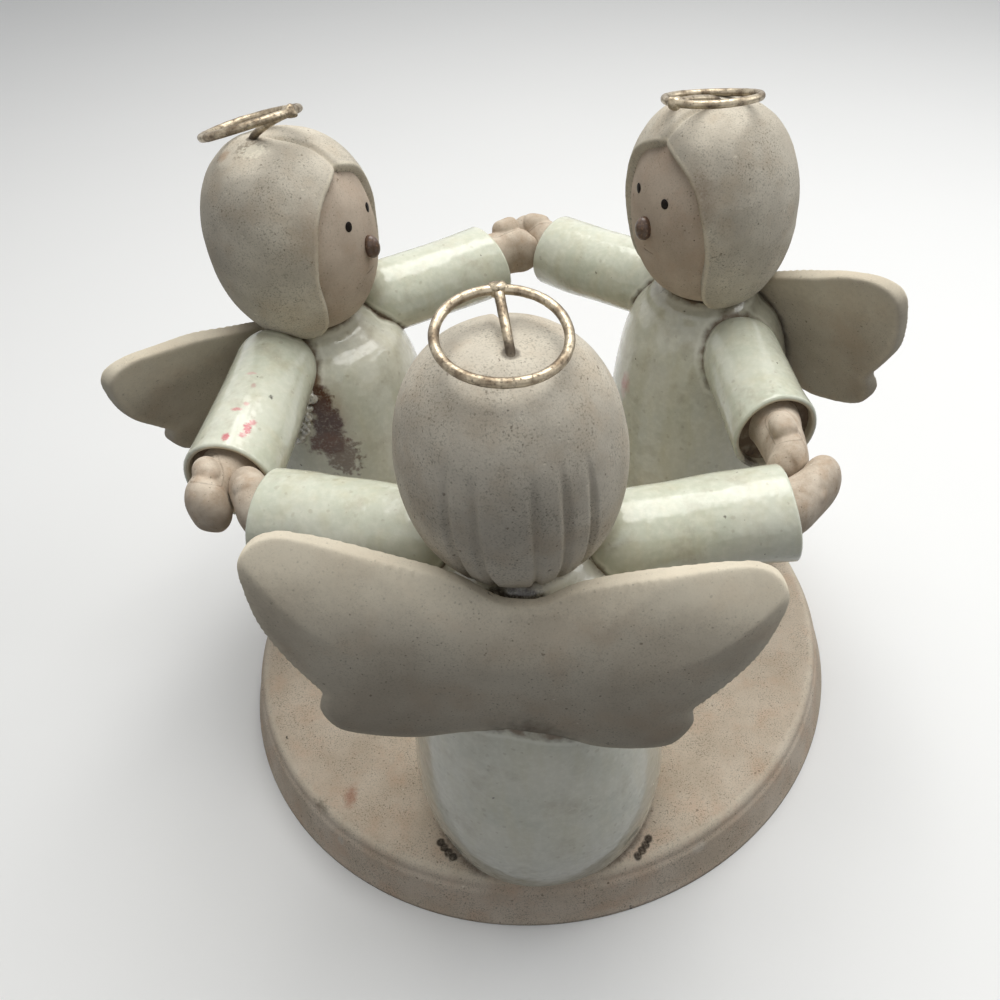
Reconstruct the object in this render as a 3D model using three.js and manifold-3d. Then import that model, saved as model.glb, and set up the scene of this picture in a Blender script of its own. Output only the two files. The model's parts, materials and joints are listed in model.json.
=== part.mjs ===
// Angel tealight holder: three stoneware angels stand in a ring on a round base, facing inwards with their
// hands joined round a tealight. Millimetres, +Z up. The origin is the middle of the base's underside, and
// the front angel stands towards -Y.

import * as THREE from 'three';
import { mergeVertices } from 'three/addons/utils/BufferGeometryUtils.js';
import Module from 'manifold-3d';

const wasm = await Module();
wasm.setup();

// Clearances
const SEAT_GAP = 0.3; // between two pieces that are glued or rest on each other
const TEALIGHT_DIAMETER = 38;
const TEALIGHT_PLAY = 1.2; // all round the tealight in its recess

// Base: a thrown disc with a sloped side and a soft upper edge
const BASE_FOOT_RADIUS = 70;
const BASE_TOP_RADIUS = 66.8;
const BASE_THICKNESS = 12;
const BASE_FOOT_CHAMFER = 1.2;
const BASE_EDGE_ROUND = 2.4;
const RECESS_DEPTH = 2.5;
const RECESS_EDGE_FLARE = 0.8;

// Dress: a hollow bell, open at the foot, with a neck hole on top
const DRESS_FOOT_RADIUS = 22.4;
const DRESS_WIDEST_RADIUS = 24.1;
const DRESS_WIDEST_SHARE = 0.25; // of the dress's height
const DRESS_CHEST_RADIUS = 19;
const DRESS_CHEST_SHARE = 0.74;
const DRESS_SHOULDER_RADIUS = 15.3;
const DRESS_SHOULDER_SHARE = 0.93;
const DRESS_COLLAR_RADIUS = 9.5;
const DRESS_WALL = 4;

// Head: a full egg under a slab of hair that leaves the face open
const HEAD_RADIUS = 16.7; // over the hair
const HEAD_HALF_HEIGHT = 19.5; // over the hair
const HEAD_FULLNESS = 0.7; // 1 is an ellipse, less is blunter at the crown and the chin
const HEAD_SINK = 0.7; // how far the head sits down into a dish in the collar
const HEAD_RISE = HEAD_HALF_HEIGHT - HEAD_SINK;
const HAIR_THICKNESS = 1.5; // hair's outside over the face, with its seat gap
const HAIR_HEM_DROP = HEAD_HALF_HEIGHT - 2.3; // hair's lower edge below the middle of the head
const NECK_RADIUS = 5;
const NECK_LENGTH = 7;
const FACE_PEAK = 15.4; // top of the face's opening above the middle of the head
const FACE_BROW_HALF_WIDTH = 6.6;
const FACE_BROW_HEIGHT = 12.2;
const FACE_TEMPLE_HALF_WIDTH = 10.6;
const FACE_TEMPLE_HEIGHT = 6.8;
const FACE_CHEEK_HALF_WIDTH = 12.4;
const FACE_CHEEK_HEIGHT = -3;
const FACE_JAW_HALF_WIDTH = 9.4;
const FACE_JAW_HEIGHT = -15.5;
const PARTING_WIDTH = 1.7;
const PARTING_DEPTH = 0.8;
const STRAND_AZIMUTHS = [-38, -23, -8, 20, 34]; // grooves down the back of the hair, from its middle
const STRAND_WIDTH = 1.6;
const STRAND_DEPTH = 0.6;
const STRAND_TOP = 9; // grooves fade out at this height above the middle of the head
const NOSE_HALF_WIDTH = 1.5;
const NOSE_HALF_HEIGHT = 2.3;
const NOSE_HALF_DEPTH = 1.7;
const NOSE_PROUD = 2.2; // out of the face
const NOSE_HEIGHT = -0.2; // above the middle of the head

// Sleeves and hands
const ARM_HEIGHT = 83; // sleeve's axis at the shoulder, above the underside of the base
const SHOULDER_SIDE = 9.5; // sleeve's start beside the dress's axis, before it is cut to fit
const SLEEVE_SHOULDER_RADIUS = 7.6;
const SLEEVE_CUFF_RADIUS = 8.2;
const SLEEVE_BOW = 0.5; // how far the sleeve bends forwards out of a straight line
const CUFF_SLANT = 0.15; // the cuff's top is shorter than its underside, by this share of its height
const CUFF_DEPTH = 3.4;
const CUFF_WALL = 1.1;
const HAND_HEIGHT = 10.4;
const HAND_THICKNESS = 6.6;
const HAND_OVERLAP = 5; // a hand's tip past the joint
const WRIST_SEAT = 1.5; // wrist's end in its socket in the sleeve
const WRIST_RISE = 0.9; // wrist's middle above the middle of the cuff
const THUMB_RADIUS = 2.1;
const THUMB_LENGTH = 5.8;
const OUTER_THUMB = { aside: 2.4, above: 2 }; // of a hand that lies outside the joint, from its middle
const INNER_THUMB = { aside: 0.4, above: 4.4 };

// Wings: one thick plate for each pair
const WING_SPAN = 77;
const WING_THICKNESS = 5.4;
const WING_EDGE_ROUND = 2.2;
const WING_FLAT_WIDTH = 12; // middle stretch that lies straight against the back
const WING_LAP = 0.4; // by how much the stretches of a pair run into each other

// Halo: a wire ring on a slanted stem that is glued into the crown
const HALO_WIRE_RADIUS = 0.75;
const HALO_STEM_SEAT = 3.5;
const HALO_COLLAR_RADIUS = 1.15;

// Faces round each form
const BASE_SIDES = 38;
const DRESS_SIDES = 20;
const DRESS_STEPS = 7;
const HOLLOW_STEPS = 4;
const HEAD_SIDES = 18;
const HEAD_RINGS = 9;
const LIMB_SIDES = 10;
const WIRE_SIDES = 6;
const HALO_STEPS = 18;
const WING_STEPS = 10;

// Each angel was set by hand, so its place, height and tilts differ a little. Angles are in degrees. The
// wings' middle lies behind the dress's axis and below its collar, and each pair is swept back by its own
// angle. The halo's middle lies beside and before the head's axis and above its crown, and its stem has its
// foot beside and before the axis. Each arm starts a little before the dress's axis, and the middle of its
// cuff lies beside and before the axis and below the joint of the hands.
const ANGELS = [
  {
    side: 'front', azimuth: -89, ringRadius: 45.8, dressHeight: 72.3, headYaw: 3, headForward: 1.2,
    wing: { shift: -1.1, setback: 16, drop: 2.8, roll: 7.1, yaw: -1.4, lean: 9, sweep: 3, breadth: 0.975 },
    halo: { radius: 8.45, across: 0.1, forward: -2.4, rise: 2.4, tiltBack: 10, tiltSide: 4, foot: [1, -3] },
    arms: { right: { start: 1.8, cuff: [43.9, 7.9, 0.6] }, left: { start: 3.4, cuff: [42.4, 13.8, 0.9] } },
  },
  {
    side: 'left', azimuth: 151.7, ringRadius: 46.6, dressHeight: 71.8, headYaw: 10.5, headForward: -1.5,
    wing: { shift: -1, setback: 14.2, drop: 7.6, roll: 6, yaw: 0, lean: 22, sweep: 17, breadth: 1 },
    halo: { radius: 8.6, across: 3.5, forward: -0.4, rise: 3.7, tiltBack: 18, tiltSide: -4, foot: [1.4, -3] },
    arms: { right: { start: -3, cuff: [43.6, 11.6, 2.9] }, left: { start: 1.9, cuff: [39.2, 16.5, 0.9] } },
  },
  {
    side: 'right', azimuth: 29.5, ringRadius: 44, dressHeight: 76.4, headYaw: 2, headForward: 0.8,
    wing: { shift: 1.2, setback: 14, drop: 7.2, roll: 4.4, yaw: 1, lean: 20, sweep: 15, breadth: 1 },
    halo: { radius: 8.2, across: -3.2, forward: 3.8, rise: 3, tiltBack: 4.4, tiltSide: 10.5, foot: [0, 0] },
    arms: { right: { start: -1.5, cuff: [42.4, 11.6, 0.9] }, left: { start: -0.3, cuff: [35.8, 10, 2.9] } },
  },
];

// Each pair of neighbours joins hands: the first one's right hand lies outside the second one's left hand
const HAND_JOINTS = [
  { right: 'front', left: 'right', azimuth: -30.1, radius: 56.4, height: 82.5 },
  { right: 'right', left: 'left', azimuth: 90, radius: 54.8, height: 82.5 },
  { right: 'left', left: 'front', azimuth: 210.7, radius: 56.6, height: 82.5 },
];

const CLAY = { color: 0xb9a98f, roughness: 0.9, metalness: 0 };
const FACE_CLAY = { color: 0xb8a08a, roughness: 0.85, metalness: 0 };
const GLAZE = { color: 0xcfd2bf, roughness: 0.18, metalness: 0 };
const WIRE = { color: 0x8c7f66, roughness: 0.35, metalness: 0.9 };
const BEAD = { color: 0x4a3a30, roughness: 0.3, metalness: 0.3 };

const radians = THREE.MathUtils.degToRad;
const point = (x, y, z) => new THREE.Vector3(x, y, z);

// Solids and meshes

function signedVolume(geometry) {
  const position = geometry.getAttribute('position');
  const index = geometry.index;
  const [a, b, c] = [point(0, 0, 0), point(0, 0, 0), point(0, 0, 0)];
  let volume = 0;
  for (let i = 0; i < index.count; i += 3) {
    a.fromBufferAttribute(position, index.getX(i));
    b.fromBufferAttribute(position, index.getX(i + 1));
    c.fromBufferAttribute(position, index.getX(i + 2));
    volume += a.dot(b.cross(c)) / 6;
  }
  return volume;
}

function solidFrom(geometry) {
  let shape = geometry.clone();
  shape.deleteAttribute('normal');
  shape.deleteAttribute('uv');
  shape = mergeVertices(shape, 1e-4);
  const triVerts = Uint32Array.from(shape.index.array);
  if (signedVolume(shape) < 0) {
    for (let i = 0; i < triVerts.length; i += 3) {
      [triVerts[i], triVerts[i + 1]] = [triVerts[i + 1], triVerts[i]];
    }
  }
  const vertProperties = Float32Array.from(shape.getAttribute('position').array);
  return new wasm.Manifold(new wasm.Mesh({ numProp: 3, vertProperties, triVerts }));
}

function geometryFrom(solid) {
  const { vertProperties, triVerts } = solid.getMesh();
  const geometry = new THREE.BufferGeometry();
  geometry.setAttribute('position', new THREE.BufferAttribute(vertProperties, 3));
  geometry.setIndex(new THREE.BufferAttribute(triVerts, 1));
  geometry.computeVertexNormals();
  return geometry;
}

function mesh(name, solid, finish) {
  const made = new THREE.Mesh(geometryFrom(solid), new THREE.MeshStandardMaterial(finish));
  made.name = name;
  return made;
}

// A profile of [radius, height] pairs turned about the Z axis
function turned(profile, sides) {
  const outline = profile.map(([radius, height]) => new THREE.Vector2(Math.max(radius, 0), height));
  return new THREE.LatheGeometry(outline, sides).rotateX(Math.PI / 2);
}

// A skin over equal rings of points, closed at both ends
function loft(rings) {
  const count = rings[0].length;
  const last = (rings.length - 1) * count;
  const index = [];
  for (let start = 0; start < last; start += count) {
    for (let i = 0; i < count; i += 1) {
      const a = start + i;
      const b = start + ((i + 1) % count);
      index.push(a, b, b + count, a, b + count, a + count);
    }
  }
  for (let i = 1; i < count - 1; i += 1) {
    index.push(0, i + 1, i, last, last + i, last + i + 1);
  }
  const geometry = new THREE.BufferGeometry().setFromPoints(rings.flat());
  geometry.setIndex(index);
  return geometry;
}

// A limb along a curve. Each station is a share of the curve with half sizes across and upright.
function limb(curve, stations, sides, slant = 0) {
  const up = point(0, 0, 1);
  return loft(stations.map(({ at, across, upright, past = 0 }) => {
    const tangent = curve.getTangent(at);
    const side = tangent.clone().cross(up).normalize();
    const rise = side.clone().cross(tangent);
    const centre = curve.getPoint(at).addScaledVector(tangent, past);
    return Array.from({ length: sides }, (_, i) => {
      const turn = (2 * Math.PI * i) / sides;
      const high = upright * Math.sin(turn);
      return centre.clone()
        .addScaledVector(side, across * Math.cos(turn))
        .addScaledVector(rise, high)
        .addScaledVector(tangent, -high * slant * at);
    });
  }));
}

// Base

function base() {
  const recessRadius = TEALIGHT_DIAMETER / 2 + TEALIGHT_PLAY;
  const slope = (BASE_FOOT_RADIUS - BASE_TOP_RADIUS) / BASE_THICKNESS;
  const edgeHeight = BASE_THICKNESS - BASE_EDGE_ROUND;
  const edge = [0, 45, 90].map((degrees) => [
    BASE_TOP_RADIUS - BASE_EDGE_ROUND * (1 - Math.cos(radians(degrees))),
    edgeHeight + BASE_EDGE_ROUND * Math.sin(radians(degrees)),
  ]);
  const profile = [
    [0, 0],
    [BASE_FOOT_RADIUS - BASE_FOOT_CHAMFER, 0],
    [BASE_FOOT_RADIUS, BASE_FOOT_CHAMFER],
    [BASE_FOOT_RADIUS - slope * BASE_FOOT_CHAMFER, 2 * BASE_FOOT_CHAMFER],
    ...edge,
    [recessRadius + RECESS_EDGE_FLARE, BASE_THICKNESS],
    [recessRadius, BASE_THICKNESS - RECESS_EDGE_FLARE],
    [recessRadius, BASE_THICKNESS - RECESS_DEPTH],
    [0, BASE_THICKNESS - RECESS_DEPTH],
  ];
  return mesh('base', solidFrom(turned(profile, BASE_SIDES)), CLAY);
}

// Dress

function dressCurve(height) {
  return new THREE.SplineCurve([
    new THREE.Vector2(DRESS_FOOT_RADIUS, 0),
    new THREE.Vector2(DRESS_WIDEST_RADIUS, DRESS_WIDEST_SHARE * height),
    new THREE.Vector2(DRESS_CHEST_RADIUS, DRESS_CHEST_SHARE * height),
    new THREE.Vector2(DRESS_SHOULDER_RADIUS, DRESS_SHOULDER_SHARE * height),
    new THREE.Vector2(DRESS_COLLAR_RADIUS, height),
  ]);
}

function dressOutside(height, steps) {
  return dressCurve(height).getPoints(steps).map(({ x, y }) => [x, y]);
}

// The dress's full form without its hollow, larger all round by a gap
function dressForm(height, gap) {
  const outside = dressOutside(height, DRESS_STEPS).map(([radius, level]) => [radius + gap, level]);
  const top = outside.at(-1);
  const profile = [[0, -gap], [outside[0][0], -gap], ...outside, [top[0], height + gap], [0, height + gap]];
  return solidFrom(turned(profile, DRESS_SIDES));
}

function dress(angel, headSeat) {
  const height = angel.dressHeight;
  const ceiling = height - 2 * DRESS_WALL;
  const inside = dressOutside(height, HOLLOW_STEPS)
    .filter(([, level]) => level < ceiling)
    .map(([radius, level]) => [radius - DRESS_WALL, level]);
  const hollow = [[0, -1], [inside[0][0], -1], ...inside, [NECK_RADIUS + SEAT_GAP, ceiling], [0, ceiling]];
  const neckHole = [[0, ceiling - 1], [NECK_RADIUS + SEAT_GAP, ceiling - 1],
    [NECK_RADIUS + SEAT_GAP, height + 1], [0, height + 1]];
  const shell = dressForm(height, 0)
    .subtract(solidFrom(turned(hollow, DRESS_SIDES)))
    .subtract(solidFrom(turned(neckHole, LIMB_SIDES)))
    .subtract(headSeat);
  return mesh(`${angel.side}_dress`, shell, GLAZE);
}

// Head, in a frame with the middle of the head at its origin and the face towards +Y

// How far the egg's surface lies from its axis, at a share of its half height
function eggRadius(share, inset) {
  return (HEAD_RADIUS - inset) * Math.max(1 - share * share, 0) ** (HEAD_FULLNESS / 2);
}

function eggProfile(inset) {
  return Array.from({ length: HEAD_RINGS + 1 }, (_, i) => {
    const share = Math.sin(Math.PI * (i / HEAD_RINGS - 0.5));
    return [eggRadius(share, inset), (HEAD_HALF_HEIGHT - inset) * share];
  });
}

function egg(inset) {
  return solidFrom(turned(eggProfile(inset), HEAD_SIDES));
}

function neckProfile(gap) {
  const bottom = -HEAD_HALF_HEIGHT - NECK_LENGTH + HAIR_THICKNESS;
  return [[0, bottom - gap], [NECK_RADIUS + gap, bottom - gap], [NECK_RADIUS + gap, -HEAD_HALF_HEIGHT / 2],
    [0, -HEAD_HALF_HEIGHT / 2]];
}

// The bare head with its neck, larger all round by a gap
function headForm(gap) {
  return egg(HAIR_THICKNESS - gap).add(solidFrom(turned(neckProfile(gap), LIMB_SIDES)));
}

// The nose is an upright oval bead, pressed into the face
function nose(gap) {
  const face = eggRadius(NOSE_HEIGHT / (HEAD_HALF_HEIGHT - HAIR_THICKNESS), HAIR_THICKNESS);
  const bead = new THREE.SphereGeometry(1, 8, 6)
    .scale(NOSE_HALF_WIDTH + gap, NOSE_HALF_HEIGHT + gap, NOSE_HALF_DEPTH + gap)
    .rotateX(Math.PI / 2)
    .translate(0, face + NOSE_PROUD - NOSE_HALF_DEPTH, NOSE_HEIGHT);
  return solidFrom(bead);
}

// The face's opening as a block that runs forwards through the hair
function faceOpening() {
  const right = [
    new THREE.Vector2(0, FACE_PEAK),
    new THREE.Vector2(FACE_BROW_HALF_WIDTH, FACE_BROW_HEIGHT),
    new THREE.Vector2(FACE_TEMPLE_HALF_WIDTH, FACE_TEMPLE_HEIGHT),
    new THREE.Vector2(FACE_CHEEK_HALF_WIDTH, FACE_CHEEK_HEIGHT),
    new THREE.Vector2(FACE_JAW_HALF_WIDTH, FACE_JAW_HEIGHT),
  ];
  const side = new THREE.SplineCurve(right).getPoints(7);
  const below = -HEAD_HALF_HEIGHT - 5;
  const outline = [
    ...side,
    new THREE.Vector2(FACE_JAW_HALF_WIDTH, below),
    new THREE.Vector2(-FACE_JAW_HALF_WIDTH, below),
    ...side.slice(1).reverse().map(({ x, y }) => new THREE.Vector2(-x, y)),
  ];
  const shape = new THREE.Shape(outline);
  const block = new THREE.ExtrudeGeometry(shape, { depth: 2 * HEAD_RADIUS, bevelEnabled: false });
  return solidFrom(block.rotateX(Math.PI / 2).translate(0, 2 * HEAD_RADIUS, 0));
}

// A V groove down the hair at one azimuth from the face, between two heights. Its stations are spaced evenly
// round the egg, so that it keeps its depth where the hair curves in.
function groove(azimuth, from, to, width, depth) {
  const steps = 4;
  const [first, last] = [from, to].map((height) => Math.asin(height / HEAD_HALF_HEIGHT));
  const turn = radians(azimuth);
  const out = point(Math.sin(turn), Math.cos(turn), 0);
  const across = point(Math.cos(turn), -Math.sin(turn), 0);
  return solidFrom(loft(Array.from({ length: steps + 1 }, (_, i) => {
    const level = HEAD_HALF_HEIGHT * Math.sin(THREE.MathUtils.lerp(first, last, i / steps));
    const surface = eggRadius(level / HEAD_HALF_HEIGHT, 0);
    const fade = Math.sin((Math.PI * (i + 0.6)) / (steps + 1.2));
    const centre = out.clone().multiplyScalar(surface).setZ(level);
    const normal = out.clone().multiplyScalar(surface / HEAD_RADIUS ** 2).setZ(level / HEAD_HALF_HEIGHT ** 2)
      .normalize();
    return [
      centre.clone().addScaledVector(normal, -depth * fade),
      centre.clone().addScaledVector(normal, depth).addScaledVector(across, width * fade),
      centre.clone().addScaledVector(normal, depth).addScaledVector(across, -width * fade),
    ];
  })));
}

function hair(stemHole) {
  const far = 3 * HEAD_RADIUS;
  const below = new THREE.BoxGeometry(far, far, far).translate(0, 0, -HAIR_HEM_DROP - far / 2);
  let slab = egg(0)
    .subtract(headForm(SEAT_GAP))
    .subtract(faceOpening())
    .subtract(solidFrom(below))
    .subtract(stemHole)
    .subtract(groove(0, FACE_PEAK - 1, HEAD_HALF_HEIGHT - 0.4, PARTING_WIDTH, PARTING_DEPTH));
  for (const azimuth of STRAND_AZIMUTHS) {
    slab = slab.subtract(groove(180 + azimuth, STRAND_TOP, -HAIR_HEM_DROP - 1, STRAND_WIDTH, STRAND_DEPTH));
  }
  return slab;
}

// Halo, in the head's frame

function haloPlane({ across, forward, rise, tiltBack, tiltSide }) {
  const tilt = new THREE.Euler(radians(tiltBack), radians(tiltSide), 0);
  const level = HEAD_HALF_HEIGHT + rise;
  return new THREE.Matrix4().makeRotationFromEuler(tilt).setPosition(across, forward, level);
}

function stemCurve(halo) {
  const start = point(0, halo.radius, 0).applyMatrix4(haloPlane(halo));
  const [across, forward] = halo.foot;
  const share = Math.hypot(across, forward) / HEAD_RADIUS;
  const crown = HEAD_HALF_HEIGHT * Math.sqrt(1 - share ** (2 / HEAD_FULLNESS));
  const foot = point(across, forward, crown);
  return new THREE.CatmullRomCurve3([
    start,
    start.clone().lerp(foot, 0.5).add(point(0, 0, 0.5)),
    foot,
    point(across, forward - HALO_STEM_SEAT / 4, crown - HALO_STEM_SEAT),
  ]);
}

function wireAlong(curve, radius, steps) {
  const section = new THREE.Shape(Array.from({ length: WIRE_SIDES }, (_, i) => {
    const turn = (2 * Math.PI * i) / WIRE_SIDES;
    return new THREE.Vector2(radius * Math.cos(turn), radius * Math.sin(turn));
  }));
  return solidFrom(new THREE.ExtrudeGeometry(section, { steps, extrudePath: curve, bevelEnabled: false }));
}

function halo(settings) {
  const plane = haloPlane(settings);
  const ring = new THREE.TorusGeometry(settings.radius, HALO_WIRE_RADIUS, WIRE_SIDES, HALO_STEPS);
  const joint = new THREE.SphereGeometry(HALO_COLLAR_RADIUS, 6, 4).translate(0, settings.radius, 0);
  return solidFrom(ring.applyMatrix4(plane))
    .add(solidFrom(joint.applyMatrix4(plane)))
    .add(wireAlong(stemCurve(settings), HALO_WIRE_RADIUS, 7));
}

// Wings, in the angel's frame: the plate's outline is drawn upright and then leant against the dress

function wingOutline() {
  const half = WING_SPAN / 2;
  const shape = (share, height) => new THREE.Vector2(share * half, height);
  const upperLobe = new THREE.SplineCurve([
    shape(0, 7.2), shape(0.09, 7.8), shape(0.26, 11.4), shape(0.64, 16), shape(0.86, 17.6),
    shape(0.97, 15.6), shape(1, 11), shape(0.93, 0), shape(0.74, -10.8),
  ]);
  const lowerLobe = new THREE.SplineCurve([
    shape(0.74, -10.8), shape(0.755, -14.6), shape(0.66, -19.9), shape(0.42, -22), shape(0.2, -19.8),
    shape(0, -18.4),
  ]);
  const right = [...upperLobe.getPoints(WING_STEPS), ...lowerLobe.getPoints(WING_STEPS / 2).slice(1)];
  const left = right.slice(1, -1).reverse().map(({ x, y }) => new THREE.Vector2(-x, y));
  return new THREE.Shape([...right, ...left]);
}

// The plate in three stretches: a straight middle, and two wings that run backwards from it
function sweptPlate(plate, sweep) {
  const flat = WING_FLAT_WIDTH / 2;
  const slope = Math.tan(radians(sweep));
  const stretch = (from, to, shear) => {
    const swept = plate.clone().applyMatrix4(new THREE.Matrix4().set(
      1, 0, 0, 0,
      shear * slope, 1, 0, Math.abs(shear) * slope * flat,
      0, 0, 1, 0,
      0, 0, 0, 1,
    ));
    const slice = new THREE.BoxGeometry(to - from, WING_SPAN, WING_SPAN).translate((from + to) / 2, 0, 0);
    return solidFrom(swept).intersect(solidFrom(slice));
  };
  const lapped = flat - WING_LAP;
  return stretch(-flat, flat, 0).add(stretch(lapped, WING_SPAN, -1)).add(stretch(-WING_SPAN, -lapped, 1));
}

function wings(angel, cutters) {
  const { shift, setback, drop, roll, yaw, lean, sweep, breadth } = angel.wing;
  const plate = new THREE.ExtrudeGeometry(wingOutline(), {
    depth: WING_THICKNESS - 2 * WING_EDGE_ROUND,
    bevelThickness: WING_EDGE_ROUND,
    bevelSize: WING_EDGE_ROUND,
    bevelOffset: -WING_EDGE_ROUND,
    bevelSegments: 2,
  });
  plate.translate(0, 0, WING_EDGE_ROUND - WING_THICKNESS / 2).rotateX(Math.PI / 2).scale(breadth, 1, 1);
  const place = new THREE.Matrix4().makeTranslation(shift, -setback, angel.dressHeight - drop)
    .multiply(new THREE.Matrix4().makeRotationZ(radians(yaw)))
    .multiply(new THREE.Matrix4().makeRotationX(radians(-lean)))
    .multiply(new THREE.Matrix4().makeRotationY(radians(roll)));
  const pair = solidFrom(geometryFrom(sweptPlate(plate, sweep)).applyMatrix4(place));
  const solid = cutters.reduce((left, cutter) => left.subtract(cutter), pair);
  return mesh(`${angel.side}_wings`, solid, CLAY);
}

// Arms: both ends of each pair of joined hands are worked out from their joint

function angelFrame({ azimuth, ringRadius }) {
  const turn = radians(azimuth);
  return new THREE.Matrix4().makeRotationZ(turn + Math.PI / 2)
    .setPosition(ringRadius * Math.cos(turn), ringRadius * Math.sin(turn), BASE_THICKNESS + SEAT_GAP);
}

function jointPoint({ azimuth, radius, height }) {
  return point(radius * Math.cos(radians(azimuth)), radius * Math.sin(radians(azimuth)), height);
}

function armPoint(angel, hand, across, forward, level) {
  const side = hand === 'right' ? 1 : -1;
  return point(side * across, forward, 0).applyMatrix4(angelFrame(angel)).setZ(level);
}

// Where one arm starts in the shoulder, and the middle of its cuff
function armEnds(angel, hand, joint) {
  const { start, cuff: [across, forward, drop] } = angel.arms[hand];
  return {
    shoulder: armPoint(angel, hand, SHOULDER_SIDE, start, ARM_HEIGHT),
    cuff: armPoint(angel, hand, across, forward, joint.z - drop),
  };
}

function sleeveCurve(shoulder, cuff) {
  const middle = shoulder.clone().lerp(cuff, 0.5);
  const inwards = middle.clone().setZ(0).normalize().negate();
  return new THREE.QuadraticBezierCurve3(shoulder, middle.addScaledVector(inwards, 2 * SLEEVE_BOW), cuff);
}

function sleeve({ shoulder, cuff }) {
  const curve = sleeveCurve(shoulder, cuff);
  const round = (at, share, past = 0) => {
    const radius = share * THREE.MathUtils.lerp(SLEEVE_SHOULDER_RADIUS, SLEEVE_CUFF_RADIUS, at);
    return { at, across: radius, upright: radius, past };
  };
  const arm = limb(curve, [round(0, 0.5), round(0.07, 0.88), round(0.2, 1), round(0.6, 1),
    round(1, 1, -0.8), round(1, 0.94)], LIMB_SIDES, CUFF_SLANT);
  const wall = (SLEEVE_CUFF_RADIUS - CUFF_WALL) / SLEEVE_CUFF_RADIUS;
  const recess = limb(curve, [round(1, wall * 0.97, -CUFF_DEPTH), round(1, wall, 2)], LIMB_SIDES, CUFF_SLANT);
  return solidFrom(arm).subtract(solidFrom(recess));
}

// A mitten from inside the cuff to past the joint. It lies outside the joint or inside it, by outward.
function hand({ shoulder, cuff }, joint, outward, gap) {
  const radial = joint.clone().setZ(0).normalize();
  const sleeveLine = cuff.clone().sub(shoulder).setZ(0).normalize();
  const along = joint.clone().sub(cuff).normalize();
  const tangent = along.clone().addScaledVector(radial, -along.dot(radial)).normalize();
  const palm = joint.clone().addScaledVector(radial, outward * (HAND_THICKNESS / 2));
  const middle = cuff.clone().add(point(0, 0, WRIST_RISE));
  const curve = new THREE.CatmullRomCurve3([
    middle.clone().addScaledVector(sleeveLine, -CUFF_DEPTH - WRIST_SEAT),
    middle.clone().addScaledVector(sleeveLine, 0.5),
    palm.clone().addScaledVector(tangent, -HAND_OVERLAP * 0.5),
    palm.clone().addScaledVector(tangent, HAND_OVERLAP - HAND_THICKNESS / 2).add(point(0, 0, -0.6)),
  ]);
  const oval = (at, across, upright, past = 0) => ({
    at,
    across: (across * HAND_THICKNESS) / 2 + gap,
    upright: (upright * HAND_HEIGHT) / 2 + gap,
    past,
  });
  const ovals = [oval(0, 0.95, 0.7), oval(0.3, 1, 0.78), oval(0.5, 1.08, 0.98), oval(0.8, 1.05, 1),
    oval(0.95, 0.88, 0.82), oval(1, 0.66, 0.6, 0.9), oval(1, 0.3, 0.28, 1.6)];
  const mitten = limb(curve, ovals, LIMB_SIDES);
  const { aside, above } = outward > 0 ? OUTER_THUMB : INNER_THUMB;
  const knuckle = curve.getPoint(0.48).addScaledVector(radial, outward * aside).add(point(0, 0, above));
  const tip = knuckle.clone().addScaledVector(along, THUMB_LENGTH - THUMB_RADIUS).add(point(0, 0, -0.6));
  const thumbLine = new THREE.LineCurve3(knuckle.clone().addScaledVector(along, -THUMB_RADIUS), tip);
  const bead = (at, share, past = 0) => ({
    at, across: share * THUMB_RADIUS + gap, upright: share * THUMB_RADIUS + gap, past,
  });
  const beads = [bead(0, 0.4), bead(0.2, 0.9), bead(0.7, 1), bead(1, 0.75), bead(1, 0.3, 0.8)];
  const thumb = limb(thumbLine, beads, 8);
  return solidFrom(mitten).add(solidFrom(thumb));
}

// Assembly

const holder = new THREE.Group();
holder.add(base());

const inWorld = (solid, matrix) => solidFrom(geometryFrom(solid).applyMatrix4(matrix));
const headPlace = (angel) => new THREE.Matrix4().makeRotationZ(radians(angel.headYaw))
  .setPosition(0, angel.headForward, angel.dressHeight + HEAD_RISE);

for (const angel of ANGELS) {
  const figure = new THREE.Group();
  figure.applyMatrix4(angelFrame(angel));
  const hairSpace = inWorld(egg(-SEAT_GAP), headPlace(angel));
  const headSpace = inWorld(headForm(SEAT_GAP), headPlace(angel));

  figure.add(dress(angel, headSpace.add(hairSpace)));
  figure.add(wings(angel, [dressForm(angel.dressHeight, SEAT_GAP), hairSpace]));

  const head = new THREE.Group();
  head.applyMatrix4(headPlace(angel));
  const stemHole = wireAlong(stemCurve(angel.halo), HALO_WIRE_RADIUS + SEAT_GAP, 6);
  head.add(mesh(`${angel.side}_head`, headForm(0).subtract(nose(SEAT_GAP)).subtract(stemHole), FACE_CLAY));
  head.add(mesh(`${angel.side}_hair`, hair(stemHole), CLAY));
  head.add(mesh(`${angel.side}_nose`, nose(0), BEAD));
  head.add(mesh(`${angel.side}_halo`, halo(angel.halo), WIRE));
  figure.add(head);
  holder.add(figure);
}

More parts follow.
